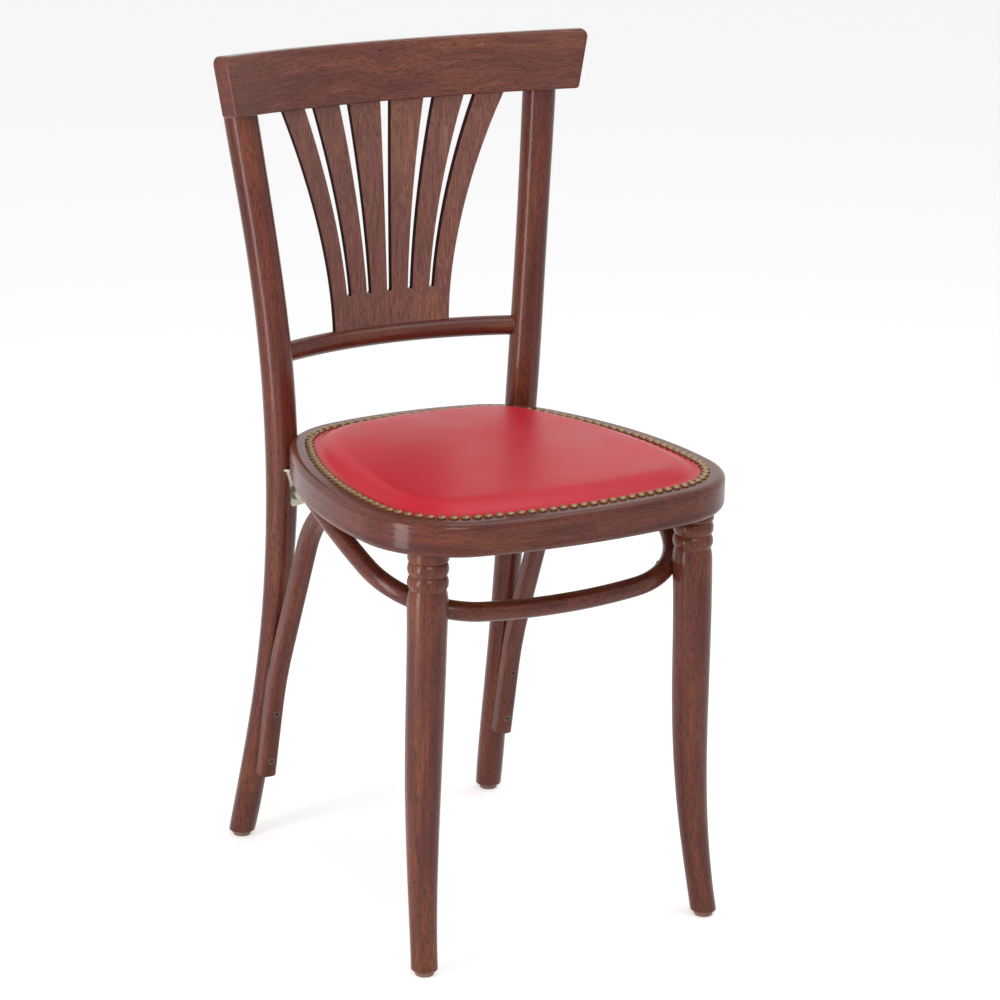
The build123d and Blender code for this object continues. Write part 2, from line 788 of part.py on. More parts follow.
with BuildPart() as foot_glides:
    with BuildSketch():
        with Locations(*foot_spots):
            Circle(glide_diameter / 2)
    extrude(amount=glide_height)
    fillet(foot_glides.faces().group_by(Axis.Z)[0].edges(), glide_round)
    add(glide_pins.part, mode=Mode.SUBTRACT)

# Wooden pieces, cut by what is let into them
with BuildPart() as front_leg_right:
    add(leg_blank.part)
    add(hoop_leg_screws.part, mode=Mode.SUBTRACT)
    add(glide_pins.part, mode=Mode.SUBTRACT)

with BuildPart() as hoop_half:
    add(hoop_blank.part)
    for cutter in (leg_blank, hoop_leg_screws, hoop_ring_screws):
        add(cutter.part, mode=Mode.SUBTRACT)

with BuildPart() as leg_hoop:
    add(hoop_half.part)
    mirror(about=Plane.YZ)

with BuildPart() as rear_brace_right:
    add(brace_blank.part)
    add(post_blank.part, mode=Mode.SUBTRACT)
    add(brace_leg_screws.part, mode=Mode.SUBTRACT)
    add(brace_ring_screws.part, mode=Mode.SUBTRACT)

with BuildPart() as back_post_right:
    add(post_blank.part)
    add(bracket_bed, mode=Mode.SUBTRACT)
    for piece in (rail_blank, lower_back_rail, rail_screws, rail_plugs):
        add(piece.part, mode=Mode.SUBTRACT)
    for piece in (bracket_bolts, brace_leg_screws, glide_pins):
        add(piece.part, mode=Mode.SUBTRACT)

with BuildPart() as seat_ring:
    with BuildSketch(Plane.XY.offset(ring_bottom)):
        add(seat_face(0))
        add(seat_face(ring_width), mode=Mode.SUBTRACT)
    extrude(amount=ring_height)
    fillet(seat_ring.faces().sort_by(Axis.Z)[-1].outer_wire().edges(), ring_top_round)
    fillet(seat_ring.faces().sort_by(Axis.Z)[0].outer_wire().edges(), ring_bottom_round)
    with BuildSketch(Plane.XY.offset(seat_top)):
        add(seat_face(cover_inset))
    extrude(amount=-cover_rebate, mode=Mode.SUBTRACT)
    with BuildSketch(Plane.XY.offset(ledge_top)):
        add(seat_face(board_inset))
    extrude(amount=-board_thickness, mode=Mode.SUBTRACT)
    with BuildSketch(Plane.XY.offset(ring_bottom)):
        with Locations((leg_x, leg_y), (-leg_x, leg_y)):
            Circle(leg_tenon_radius)
    extrude(amount=leg_tenon_height, mode=Mode.SUBTRACT)
    for blank in post_blanks + hoop_blanks:
        add(blank, mode=Mode.SUBTRACT)
    for piece in (board_screws, hoop_ring_screws, brace_ring_screws, bracket_screws):
        add(piece.part, mode=Mode.SUBTRACT)

with BuildPart() as seat_board:
    with BuildSketch(Plane.XY.offset(board_bottom)):
        add(seat_face(board_inset + board_clearance))
    extrude(amount=board_thickness)
    add(board_screws.part, mode=Mode.SUBTRACT)


def pad_form(outline_inset, skin):
    """Seat pad under a skin: a crowned top with an edge that slopes in a hollow and then a round."""
    edge_path = seat_wire(slope_inset + skin).moved(Location((0, 0, seat_top - skin)))
    start = edge_path @ 0
    heading = edge_path % 0
    inward = Vector(-heading.Y, heading.X, 0)
    headroom = slope_rise + crown_height
    with BuildPart() as edge_waste:
        with BuildSketch(Plane(origin=start, x_dir=inward, z_dir=heading)):
            with BuildLine():
                hollow = TangentArc((0, 0), (slope_knee_width, slope_knee_rise), tangent=(1, 0))
                swell = TangentArc(hollow @ 1, (slope_width, slope_rise), tangent=hollow % 1)
                Polyline(
                    swell @ 1,
                    (slope_width, headroom),
                    (-slope_inset, headroom),
                    (-slope_inset, 0),
                    (0, 0),
                )
            make_face()
        sweep(path=edge_path)
    with BuildPart() as form:
        with BuildSketch(Plane.XY.offset(ledge_top)):
            add(seat_face(outline_inset))
        extrude(amount=cover_rebate + headroom)
        with Locations((0, (seat_back - seat_front) / 2, seat_top + crown_height - crown_radius)):
            Sphere(crown_radius - skin, mode=Mode.INTERSECT)
        add(edge_waste.part, mode=Mode.SUBTRACT)
    return form.part


with BuildPart() as seat_foam:
    add(pad_form(slope_inset + cover_thickness, cover_thickness))

with BuildPart() as seat_cover:
    add(pad_form(cover_inset + board_clearance, 0.0))
    add(seat_foam.part, mode=Mode.SUBTRACT)

# Domed nails, side by side round the cover's hem
nail_radius = nail_diameter / 2
dome_radius = (nail_radius**2 + nail_height**2) / (2 * nail_height)
dome_shoulder = nail_height - dome_radius + math.sqrt(dome_radius**2 - nail_radius**2 / 4)
with BuildPart() as nail_head:
    with BuildSketch(Plane.XZ):
        with BuildLine():
            Polyline((0, nail_height), (0, 0), (nail_radius, 0))
            ThreePointArc((nail_radius, 0), (nail_radius / 2, dome_shoulder), (0, nail_height))
        make_face()
    revolve(axis=Axis.Z)

nail_path = seat_wire(nail_inset)
nail_count = round(nail_path.length / nail_pitch)
nail_spots = [nail_path @ (index / nail_count) for index in range(nail_count)]
with BuildPart() as cover_nails:
    with Locations(*[(spot.X, spot.Y, seat_top) for spot in nail_spots]):
        add(nail_head.part)

left_pieces = {
    "back_post_left": mirror(back_post_right.part, about=Plane.YZ),
    "front_leg_left": mirror(front_leg_right.part, about=Plane.YZ),
    "rear_brace_left": mirror(rear_brace_right.part, about=Plane.YZ),
    "seat_bracket_left": mirror(seat_bracket_right.part, about=Plane.YZ),
}
pieces = {
    "top_rail": top_rail.part,
    "fan_splat": fan_splat.part,
    "lower_back_rail": lower_back_rail.part,
    "back_post_right": back_post_right.part,
    "rail_screws": rail_screws.part,
    "rail_plugs": rail_plugs.part,
    "seat_ring": seat_ring.part,
    "seat_board": seat_board.part,
    "seat_foam": seat_foam.part,
    "seat_cover": seat_cover.part,
    "cover_nails": cover_nails.part,
    "board_screws": board_screws.part,
    "front_leg_right": front_leg_right.part,
    "leg_hoop": leg_hoop.part,
    "hoop_leg_screws": hoop_leg_screws.part,
    "hoop_ring_screws": hoop_ring_screws.part,
    "rear_brace_right": rear_brace_right.part,
    "brace_leg_screws": brace_leg_screws.part,
    "brace_ring_screws": brace_ring_screws.part,
    "seat_bracket_right": seat_bracket_right.part,
    "bracket_bolts": bracket_bolts.part,
    "bracket_screws": bracket_screws.part,
    "foot_glides": foot_glides.part,
    "glide_pins": glide_pins.part,
    **left_pieces,
}
for name, piece in pieces.items():
    piece.label = name
    export_step(piece, f"parts/{name}.step")
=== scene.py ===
import math

import bmesh
import bpy
import numpy as np
from mathutils import Matrix, Vector
from mathutils.kdtree import KDTree


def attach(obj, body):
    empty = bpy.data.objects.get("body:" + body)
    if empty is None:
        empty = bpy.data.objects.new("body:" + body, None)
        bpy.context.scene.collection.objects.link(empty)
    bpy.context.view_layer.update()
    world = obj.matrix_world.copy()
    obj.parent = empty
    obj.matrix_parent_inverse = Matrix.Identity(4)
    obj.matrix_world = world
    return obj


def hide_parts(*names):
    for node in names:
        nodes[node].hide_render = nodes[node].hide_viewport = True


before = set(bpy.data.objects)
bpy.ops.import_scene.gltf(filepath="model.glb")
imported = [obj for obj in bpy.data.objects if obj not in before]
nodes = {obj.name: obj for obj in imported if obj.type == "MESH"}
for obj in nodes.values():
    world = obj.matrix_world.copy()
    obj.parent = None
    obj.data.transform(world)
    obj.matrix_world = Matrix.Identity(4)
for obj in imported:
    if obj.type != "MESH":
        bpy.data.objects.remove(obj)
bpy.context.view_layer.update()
scene = bpy.context.scene

MM = 0.001

# Seat outline, as in the part: eight tangent arcs seen from above
SEAT_TOP = 465.0 * MM
SEAT_FRONT = 232.5 * MM
SEAT_BACK = 173.0 * MM
SEAT_HALF_WIDTH = 203.5 * MM
WIDEST_Y = -93.5 * MM
FRONT_RADIUS = 680.0 * MM
SIDE_RADIUS = 457.0 * MM
BACK_RADIUS = 428.0 * MM
FRONT_CORNER_RADIUS = 100.0 * MM
REAR_CORNER_RADIUS = 102.0 * MM
SEAT_MIDDLE = Vector((0.0, (SEAT_BACK - SEAT_FRONT) / 2))

# Pad: hem under the nails, sloping edge, crowned top
HEM_INSET = 17.8 * MM
HEM_DROP = 2.0 * MM
SLOPE_INSET = 26.5 * MM
SLOPE_WIDTH = 34.0 * MM
SLOPE_RISE = 12.2 * MM
KNEE_WIDTH = 8.0 * MM
KNEE_RISE = 2.6 * MM
CROWN_RADIUS = 6000.0 * MM
CROWN_HEIGHT = 13.5 * MM
LOFT = 0.4 * MM

# How the slope runs on past its end, bent by so much per metre, and eases into the crown
PAST_SLOPE_BEND = 8.8
BLEND_HEIGHT = 0.8 * MM

# Pad's sheet: rings keep the seat outline's shape down to an inset, then shrink to the middle
OFFSET_INSET = 85.0 * MM
HEM_SHARE = 0.08
SLOPE_SHARE = 0.5
OFFSET_SHARE = 0.65
PAD_SECTORS = 432
PAD_RINGS = 64

# Swelling of the foam, found on a coarser sheet, and the cover's dimples at the nails
SWELL_SECTORS = 108
SWELL_RINGS = 32
SWELL_LIMIT = 1.0 * MM
SWELL_PRESSURE = 4.0
SWELL_FRAMES = 20
DIMPLE_START = 0.05 * MM
DIMPLE_DEPTH = 0.7 * MM
DIMPLE_REACH = 7.0 * MM

# Centre lines that the grain follows, in millimetres from the floor up.
# The posts' are the part's own. The legs' and braces' are about the part's.
POST_HEIGHTS = (5.0, 120.0, 320.0, 447.5, 547.0, 700.0, 838.0)
POST_OUT = (153.9, 146.1, 140.6, 143.4, 149.6, 165.1, 180.9)
POST_BACK = (218.5, 193.6, 160.5, 151.7, 153.7, 169.3, 188.9)
LEG_HEIGHTS = (5.0, 50.0, 100.0, 150.0, 200.0, 376.0)
LEG_OUT = (164.8, 161.5, 159.0, 157.0, 155.8, 152.7)
LEG_BACK = (-199.9, -189.5, -182.0, -177.5, -175.0, -172.2)
BRACE_HEIGHTS = (80.0, 195.0, 300.0, 360.0, 400.0, 430.0)
BRACE_OUT = (144.0,) * len(BRACE_HEIGHTS)
BRACE_BACK = (180.0, 156.0, 116.0, 92.0, 66.0, 10.0)

# Height that the centre lines' curves cover, and how far the figure differs from side to side
CURVE_SPAN = 0.9
SIDE_SHIFT = 1.7

# Bends that the grain of the rails, the seat ring and the leg hoop follows, about the part's
RAIL_CENTRE_Y = -215.0 * MM
RAIL_RADIUS = 425.0 * MM
LOW_RAIL_CENTRE_Y = -200.0 * MM
LOW_RAIL_RADIUS = 385.0 * MM
RING_HALF = 200.0 * MM
HOOP_HALF_WIDTH = 180.0 * MM
HOOP_HALF_DEPTH = 190.0 * MM
HOOP_MIDDLE_Y = -20.0 * MM
HOOP_SQUARENESS = 3.0

# Cells of the noise patterns per metre, across the grain twice and then along it
SWAY_CELLS = (14.0, 14.0, 9.0)
STREAK_CELLS = (95.0, 95.0, 3.0)
FIBRE_CELLS = (620.0, 620.0, 16.0)
FLECK_CELLS = (1100.0, 1100.0, 120.0)
PATCH_CELLS = (34.0, 34.0, 7.0)
CLOUD_CELLS = (18.0, 18.0, 18.0)
GRIT_CELLS = (1400.0, 1400.0, 1400.0)
VINYL_CELLS = 780.0

# How far the grain sways where a piece has no bolder figure
GENTLE_WAVE = 6.0 * MM

# Nails and screws
MERGE_DISTANCE = 0.001 * MM
RIM_MARGIN = 0.01 * MM
NAIL_CUT = -0.1 * MM
NAIL_SEGMENTS = 14
NAIL_RINGS = 10
NAIL_CREASE = 1.0
HEAD_SEGMENTS = 24
SHANK_SEGMENTS = 12
SCREW_CREASE = 0.6
SEED = 7

# Floor, light and camera, in metres
FLOOR_HALF = 8.0
FLOOR_GLOW = 0.46
SKY_LIGHT = 0.44
CAMERA_PLACE = (-1.9178, -3.2477, 1.5371)
CAMERA_RIGHT = Vector((0.8607, -0.5087, 0.0215))
CAMERA_UP = Vector((0.1276, 0.2563, 0.9582))
CAMERA_FORWARD = Vector((0.4929, 0.8219, -0.2855))
LENS_LENGTH = 138.9
SENSOR_WIDTH = 36.0
WHITE = (1.0, 1.0, 1.0, 1.0)
FLOOR_WHITE = (0.95, 0.95, 0.95, 1.0)


def srgb(red, green, blue):
    """Linear colour of display values from 0 to 255."""
    channels = []
    for value in (red, green, blue):
        share = value / 255
        channels.append(share / 12.92 if share <= 0.04045 else ((share + 0.055) / 1.055) ** 2.4)
    return (*channels, 1.0)


# Points of the seat outline

def touching_centre(first, first_reach, second, second_reach):
    """Right-hand point at given distances from two centres."""
    gap = second - first
    along = (first_reach**2 - second_reach**2 + gap.length_squared) / (2 * gap.length)
    aside = math.sqrt(first_reach**2 - along**2)
    way = gap.normalized()
    across = Vector((-way.y, way.x))
    options = [first + way * along + across * aside * side for side in (1, -1)]
    return max(options, key=lambda point: point.x)


def heading(start, end):
    """Angle of the line between two points."""
    return math.atan2(end.y - start.y, end.x - start.x)


FRONT_CENTRE = Vector((0.0, FRONT_RADIUS - SEAT_FRONT))
BACK_CENTRE = Vector((0.0, SEAT_BACK - BACK_RADIUS))
SIDE_CENTRE = Vector((SEAT_HALF_WIDTH - SIDE_RADIUS, WIDEST_Y))
FRONT_CORNER = touching_centre(
    FRONT_CENTRE,
    FRONT_RADIUS - FRONT_CORNER_RADIUS,
    SIDE_CENTRE,
    SIDE_RADIUS - FRONT_CORNER_RADIUS,
)
REAR_CORNER = touching_centre(
    BACK_CENTRE,
    BACK_RADIUS - REAR_CORNER_RADIUS,
    SIDE_CENTRE,
    SIDE_RADIUS - REAR_CORNER_RADIUS,
)
FRONT_TURN = heading(FRONT_CENTRE, FRONT_CORNER)
SIDE_TURN = heading(SIDE_CENTRE, FRONT_CORNER)
REAR_TURN = heading(SIDE_CENTRE, REAR_CORNER)
BACK_TURN = heading(BACK_CENTRE, REAR_CORNER)
RIGHT_ARCS = [
    (FRONT_CENTRE, FRONT_RADIUS, -math.pi / 2, FRONT_TURN),
    (FRONT_CORNER, FRONT_CORNER_RADIUS, FRONT_TURN, SIDE_TURN),
    (SIDE_CENTRE, SIDE_RADIUS, SIDE_TURN, REAR_TURN),
    (REAR_CORNER, REAR_CORNER_RADIUS, REAR_TURN, BACK_TURN),
    (BACK_CENTRE, BACK_RADIUS, BACK_TURN, math.pi / 2),
]
RIGHT_LENGTH = sum(radius * (end - start) for _, radius, start, end in RIGHT_ARCS)


def outline_point(share, inset):
    """Point at a share of the seat outline from the front middle, moved inwards."""
    share = share % 1.0
    side = -1.0 if share > 0.5 else 1.0
    reach = min(share, 1.0 - share) * 2 * RIGHT_LENGTH
    for centre, radius, start, end in RIGHT_ARCS:
        arc = radius * (end - start)
        if reach <= arc or centre is BACK_CENTRE:
            break
        reach -= arc
    turn = min(start + reach / radius, end)
    point = centre + Vector((math.cos(turn), math.sin(turn))) * (radius - inset)
    return Vector((side * point.x, point.y))


# Shader groups

def new_node(tree, kind, **settings):
    """Node with some of its settings."""
    made = tree.nodes.new(kind)
    for key, value in settings.items():
        setattr(made, key, value)
    return made


def feed(tree, socket, source):
    """Links a socket, or sets its plain value."""
    if isinstance(source, bpy.types.NodeSocket):
        tree.links.new(source, socket)
    else:
        socket.default_value = source


def maths(tree, operation, first, second=0.0):
    """Result of one sum."""
    made = new_node(tree, "ShaderNodeMath", operation=operation)
    feed(tree, made.inputs[0], first)
    feed(tree, made.inputs[1], second)
    return made.outputs[0]


def span(tree, value, low=0.0, high=1.0, to_low=0.0, to_high=1.0):
    """Value stretched from one range to another and clamped."""
    made = new_node(tree, "ShaderNodeMapRange")
    for socket, source in zip(made.inputs[:5], (value, low, high, to_low, to_high)):
        feed(tree, socket, source)
    return made.outputs[0]


def blend(tree, share, first, second):
    """Mix of two colours, the second by a share."""
    made = new_node(tree, "ShaderNodeMix", data_type="RGBA")
    feed(tree, made.inputs[0], share)
    for socket, source in zip(made.inputs[6:8], (first, second)):
        feed(tree, socket, source)
    return made.outputs[2]


def faded(tree, value, strength):
    """Value times a strength."""
    return maths(tree, "MULTIPLY", value, strength)


def stretched_noise(tree, vector, cells, detail, roughness=0.5, distortion=0.0):
    """Noise with so many cells per metre along each axis."""
    scaled = new_node(tree, "ShaderNodeVectorMath", operation="MULTIPLY")
    feed(tree, scaled.inputs[0], vector)
    scaled.inputs[1].default_value = cells
    noise = new_node(tree, "ShaderNodeTexNoise")
    feed(tree, noise.inputs["Vector"], scaled.outputs[0])
    noise.inputs["Scale"].default_value = 1.0
    noise.inputs["Detail"].default_value = detail
    noise.inputs["Roughness"].default_value = roughness
    noise.inputs["Distortion"].default_value = distortion
    return noise.outputs["Fac"]


def new_group(name, inputs, outputs):
    """Shader node group with named sockets, and its two ends."""
    tree = bpy.data.node_groups.new(name, "ShaderNodeTree")
    for label, kind, value in inputs:
        socket = tree.interface.new_socket(label, in_out="INPUT", socket_type=kind)
        if value is not None:
            socket.default_value = value
    for label, kind in outputs:
        tree.interface.new_socket(label, in_out="OUTPUT", socket_type=kind)
    given = tree.nodes.new("NodeGroupInput").outputs
    out = tree.nodes.new("NodeGroupOutput").inputs
    return tree, given, out


def wood_figure_group():
    """Grain of beech: broad streaks, fibres, short ray flecks and warm patches, along Z."""
    tree, given, out = new_group(
        "wood_figure",
        [
            ("Grain", "NodeSocketVector", None),
            ("Shift", "NodeSocketFloat", 0.0),
            ("Wave", "NodeSocketFloat", GENTLE_WAVE),
        ],
        [
            ("Streaks", "NodeSocketFloat"),
            ("Fibres", "NodeSocketFloat"),
            ("Flecks", "NodeSocketFloat"),
            ("Patches", "NodeSocketFloat"),
            ("Relief", "NodeSocketFloat"),
        ],
    )
    moved = new_node(tree, "ShaderNodeVectorMath", operation="ADD")
    feed(tree, moved.inputs[0], given["Grain"])
    feed(tree, moved.inputs[1], given["Shift"])
    sway = stretched_noise(tree, moved.outputs[0], SWAY_CELLS, detail=2.0)
    bent = faded(tree, maths(tree, "SUBTRACT", sway, 0.5), given["Wave"])
    waved = new_node(tree, "ShaderNodeVectorMath", operation="ADD")
    feed(tree, waved.inputs[0], moved.outputs[0])
    feed(tree, waved.inputs[1], bent)
    grain = waved.outputs[0]
    streaks = stretched_noise(tree, grain, STREAK_CELLS, detail=5.0, roughness=0.6, distortion=0.4)
    streaks = span(tree, streaks, low=0.34, high=0.68)
    fibres = stretched_noise(tree, grain, FIBRE_CELLS, detail=3.0, roughness=0.6)
    flecks = stretched_noise(tree, grain, FLECK_CELLS, detail=1.0)
    flecks = span(tree, flecks, low=0.55, high=0.68)
    patches = stretched_noise(tree, grain, PATCH_CELLS, detail=3.0, roughness=0.55, distortion=0.8)
    patches = span(tree, patches, low=0.46, high=0.68)
    relief = maths(tree, "SUBTRACT", fibres, faded(tree, flecks, 0.6))
    for label, value in (
        ("Streaks", streaks),
        ("Fibres", fibres),
        ("Flecks", flecks),
        ("Patches", patches),
        ("Relief", relief),
    ):
        feed(tree, out[label], value)
    return tree


def handling_group():
    """Faint unevenness of a wiped or handled surface: slow cloud and fine grit."""
    tree, given, out = new_group(
        "handling",
        [("Place", "NodeSocketVector", None)],
        [("Cloud", "NodeSocketFloat"), ("Grit", "NodeSocketFloat")],
    )
    cloud = stretched_noise(tree, given["Place"], CLOUD_CELLS, detail=4.0, roughness=0.6)
    grit = stretched_noise(tree, given["Place"], GRIT_CELLS, detail=2.0)
    feed(tree, out["Cloud"], span(tree, cloud, low=0.3, high=0.7))
    feed(tree, out["Grit"], grit)
    return tree


WOOD_FIGURE = wood_figure_group()
HANDLING = handling_group()


def placed_group(tree, group, **sources):
    """A shader group in a material, with its inputs fed."""
    made = new_node(tree, "ShaderNodeGroup", node_tree=group)
    for label, source in sources.items():
        feed(tree, made.inputs[label], source)
    return made.outputs


def new_material(name):
    """Material, its tree, its shader and its object coordinates."""
    made = bpy.data.materials.new(name)
    made.use_nodes = True
    tree = made.node_tree
    place = new_node(tree, "ShaderNodeTexCoord").outputs["Object"]
    return made, tree, tree.nodes["Principled BSDF"].inputs, place


def bump(tree, height, depth, strength):
    """Normal of a surface that is raised by a height of some depth."""
    made = new_node(tree, "ShaderNodeBump")
    made.inputs["Strength"].default_value = strength
    made.inputs["Distance"].default_value = depth
    feed(tree, made.inputs["Height"], height)
    return made.outputs["Normal"]


# Grain directions, each a vector whose Z runs along the wood

def split(tree, place):
    """X, Y and Z of a place."""
    made = new_node(tree, "ShaderNodeSeparateXYZ")
    feed(tree, made.inputs[0], place)
    return made.outputs


def join(tree, x, y, z):
    """Vector of three values."""
    made = new_node(tree, "ShaderNodeCombineXYZ")
    for socket, source in zip(made.inputs, (x, y, z)):
        feed(tree, socket, source)
    return made.outputs[0]


def follow(tree, height, heights, offsets):
    """Offset of a centre line at a height, in metres."""
    low = min(offsets) * MM
    reach = (max(offsets) - min(offsets)) * MM
    if not reach:
        return low
    curve = new_node(tree, "ShaderNodeFloatCurve")
    points = curve.mapping.curves[0].points
    spots = []
    for level, offset in zip(heights, offsets):
        spots.append((level * MM / CURVE_SPAN, (offset * MM - low) / reach))
    spots = [(0.0, spots[0][1]), *spots, (1.0, spots[-1][1])]
    points[0].location = spots[0]
    points[1].location = spots[-1]
    for spot in spots[1:-1]:
        points.new(*spot)
    curve.mapping.update()
    feed(tree, curve.inputs["Value"], maths(tree, "DIVIDE", height, CURVE_SPAN))
    return maths(tree, "ADD", faded(tree, curve.outputs[0], reach), low)


def upright_grain(tree, place):
    """Straight up."""
    return place


def rod_grain(heights, out, back):
    """Along a bent leg, post or brace on either side, with another figure on each."""
    def grain(tree, place):
        x, y, z = split(tree, place)
        aside = maths(tree, "ABSOLUTE", x)
        aside = maths(tree, "SUBTRACT", aside, follow(tree, z, heights, out))
        behind = maths(tree, "SUBTRACT", y, follow(tree, z, heights, back))
        side = faded(tree, maths(tree, "SIGN", x), SIDE_SHIFT)
        return join(tree, aside, behind, maths(tree, "ADD", z, side))
    return grain


def bowed_grain(centre_y, radius):
    """Along a rail that is bent round an upright axis."""
    def grain(tree, place):
        x, y, z = split(tree, place)
        ahead = maths(tree, "SUBTRACT", y, centre_y)
        turn = maths(tree, "ARCTAN2", x, ahead)
        squares = [maths(tree, "MULTIPLY", side, side) for side in (x, ahead)]
        reach = maths(tree, "SQRT", maths(tree, "ADD", *squares))
        return join(tree, reach, z, faded(tree, turn, radius))
    return grain


def hoop_grain(half_width, half_depth, middle_y):
    """Round a squarish hoop that lies under or around the seat."""
    def grain(tree, place):
        x, y, z = split(tree, place)
        ahead = maths(tree, "SUBTRACT", y, middle_y)
        powers = []
        for side, half in ((x, half_width), (ahead, half_depth)):
            share = maths(tree, "ABSOLUTE", maths(tree, "DIVIDE", side, half))
            powers.append(maths(tree, "POWER", share, HOOP_SQUARENESS))
        reach = maths(tree, "POWER", maths(tree, "ADD", *powers), 1.0 / HOOP_SQUARENESS)
        turn = maths(tree, "ARCTAN2", x, ahead)
        return join(tree, faded(tree, reach, half_width), z, faded(tree, turn, half_width))
    return grain


# Finishes

DEEP_STAIN = srgb(82, 34, 26)
STAIN = srgb(124, 61, 45)
WARM_STAIN = srgb(152, 88, 56)
# Dark of the pores, also used for the painted shade on the fan's slot walls
PORE_AND_SHADE_STAIN = srgb(44, 17, 13)
# Partly paler wood and partly a painted sheen of reflected light, for the front-facing fan and top
# rail
PALE_STAIN_AND_SHEEN = srgb(148, 108, 97)
LACQUER = 0.36
FLECK_STRENGTH = 0.75
PALE_SOFTENING = 0.5

VINYL_RED = srgb(196, 10, 34)
VINYL_BRIGHT = srgb(208, 16, 42)
# Painted shade in the creases of the vinyl's pressed grain
VINYL_CREASE_SHADE = srgb(182, 6, 27)
# Brass: a painted highlight on the crowns, painted shade and patina low down, between two heights
BRASS_CROWN_HIGHLIGHT = srgb(176, 144, 104)
BRASS_PIT = srgb(84, 58, 34)
BRASS_PATINA_AND_RIM_SHADE = srgb(38, 24, 16)
BRASS_LOW = SEAT_TOP + 0.3 * MM
BRASS_HIGH = SEAT_TOP + 2.6 * MM
ZINC_BRIGHT = srgb(206, 202, 184)
ZINC_DULL = srgb(150, 146, 130)
STEEL_BRIGHT = srgb(112, 98, 88)
STEEL_DULL = srgb(78, 66, 58)
GLIDE_TAN = srgb(128, 92, 74)
GLIDE_PALE = srgb(158, 122, 100)
GLIDE_LOW_DARK = srgb(84, 62, 52)
GLIDE_DARK_HEIGHT = 2.5 * MM
VENEER_DARK = srgb(176, 138, 98)
VENEER_PALE = srgb(206, 172, 130)
VENEER_PORE = srgb(132, 96, 62)
GLUE = srgb(110, 78, 50)
VENEER_HALF = 1.4 * MM
GLUE_HALF = 0.25 * MM


def wood_finish(name, grain, shift, warmth, wave=GENTLE_WAVE, pale=0.0, shaded_dull_walls=False):
    """Stained and lacquered beech whose grain runs along a piece.

    Walls that face sideways, as in the fan's slots, can get painted shade, and are then dull and
    unlacquered.
    """
    made, tree, shader, place = new_material(name)
    figure = placed_group(tree, WOOD_FIGURE, Grain=grain(tree, place), Shift=shift, Wave=wave)
    touch = placed_group(tree, HANDLING, Place=place)
    colour = blend(tree, figure["Streaks"], DEEP_STAIN, STAIN)
    colour = blend(tree, faded(tree, figure["Patches"], warmth), colour, WARM_STAIN)
    # Paler, greyer colour: partly lighter wood, partly a painted sheen of reflected light, which
    # also softens the flecks below
    if pale:
        colour = blend(tree, pale, colour, PALE_STAIN_AND_SHEEN)
    fibre = span(tree, figure["Fibres"], low=0.35, high=0.65, to_high=0.6)
    colour = blend(tree, fibre, colour, DEEP_STAIN)
    fleck = faded(tree, figure["Flecks"], FLECK_STRENGTH - PALE_SOFTENING * pale)
    colour = blend(tree, fleck, colour, PORE_AND_SHADE_STAIN)
    roughness = span(tree, touch["Cloud"], to_low=0.3, to_high=0.42)
    if shaded_dull_walls:
        # Painted shade on walls that face sideways, such as the slots' walls; they are also made
        # rougher and left without lacquer
        normal = new_node(tree, "ShaderNodeTexCoord").outputs["Normal"]
        sideways = maths(tree, "ABSOLUTE", split(tree, normal)[0])
        wall = span(tree, sideways, low=0.45, high=0.8)
        colour = blend(tree, wall, colour, PORE_AND_SHADE_STAIN)
        roughness = maths(tree, "ADD", roughness, faded(tree, wall, 0.5))
        feed(tree, shader["Coat Weight"], span(tree, wall, to_low=LACQUER, to_high=0.0))
    else:
        shader["Coat Weight"].default_value = LACQUER
    feed(tree, shader["Base Color"], colour)
    feed(tree, shader["Roughness"], roughness)
    feed(tree, shader["Normal"], bump(tree, figure["Relief"], depth=0.15 * MM, strength=0.35))
    shader["Specular IOR Level"].default_value = 0.14
    shader["Coat Roughness"].default_value = 0.12
    return made


def vinyl_finish():
    """Red upholstery vinyl with a fine pressed grain."""
    made, tree, shader, place = new_material("red_vinyl")
    touch = placed_group(tree, HANDLING, Place=place)
    cells = new_node(tree, "ShaderNodeTexVoronoi")
    feed(tree, cells.inputs["Vector"], place)
    cells.inputs["Scale"].default_value = VINYL_CELLS
    creases = span(tree, cells.outputs["Distance"], low=0.1, high=0.75)
    red = blend(tree, touch["Cloud"], VINYL_RED, VINYL_BRIGHT)
    # Painted shade: the creases of the pressed grain are darkened
    red = blend(tree, faded(tree, creases, 0.25), red, VINYL_CREASE_SHADE)
    feed(tree, shader["Base Color"], red)
    feed(tree, shader["Roughness"], span(tree, touch["Cloud"], to_low=0.34, to_high=0.42))
    shader["Specular IOR Level"].default_value = 0.36
    height = maths(tree, "SUBTRACT", faded(tree, touch["Grit"], 0.4), creases)
    feed(tree, shader["Normal"], bump(tree, height, depth=0.08 * MM, strength=0.3))
    return made


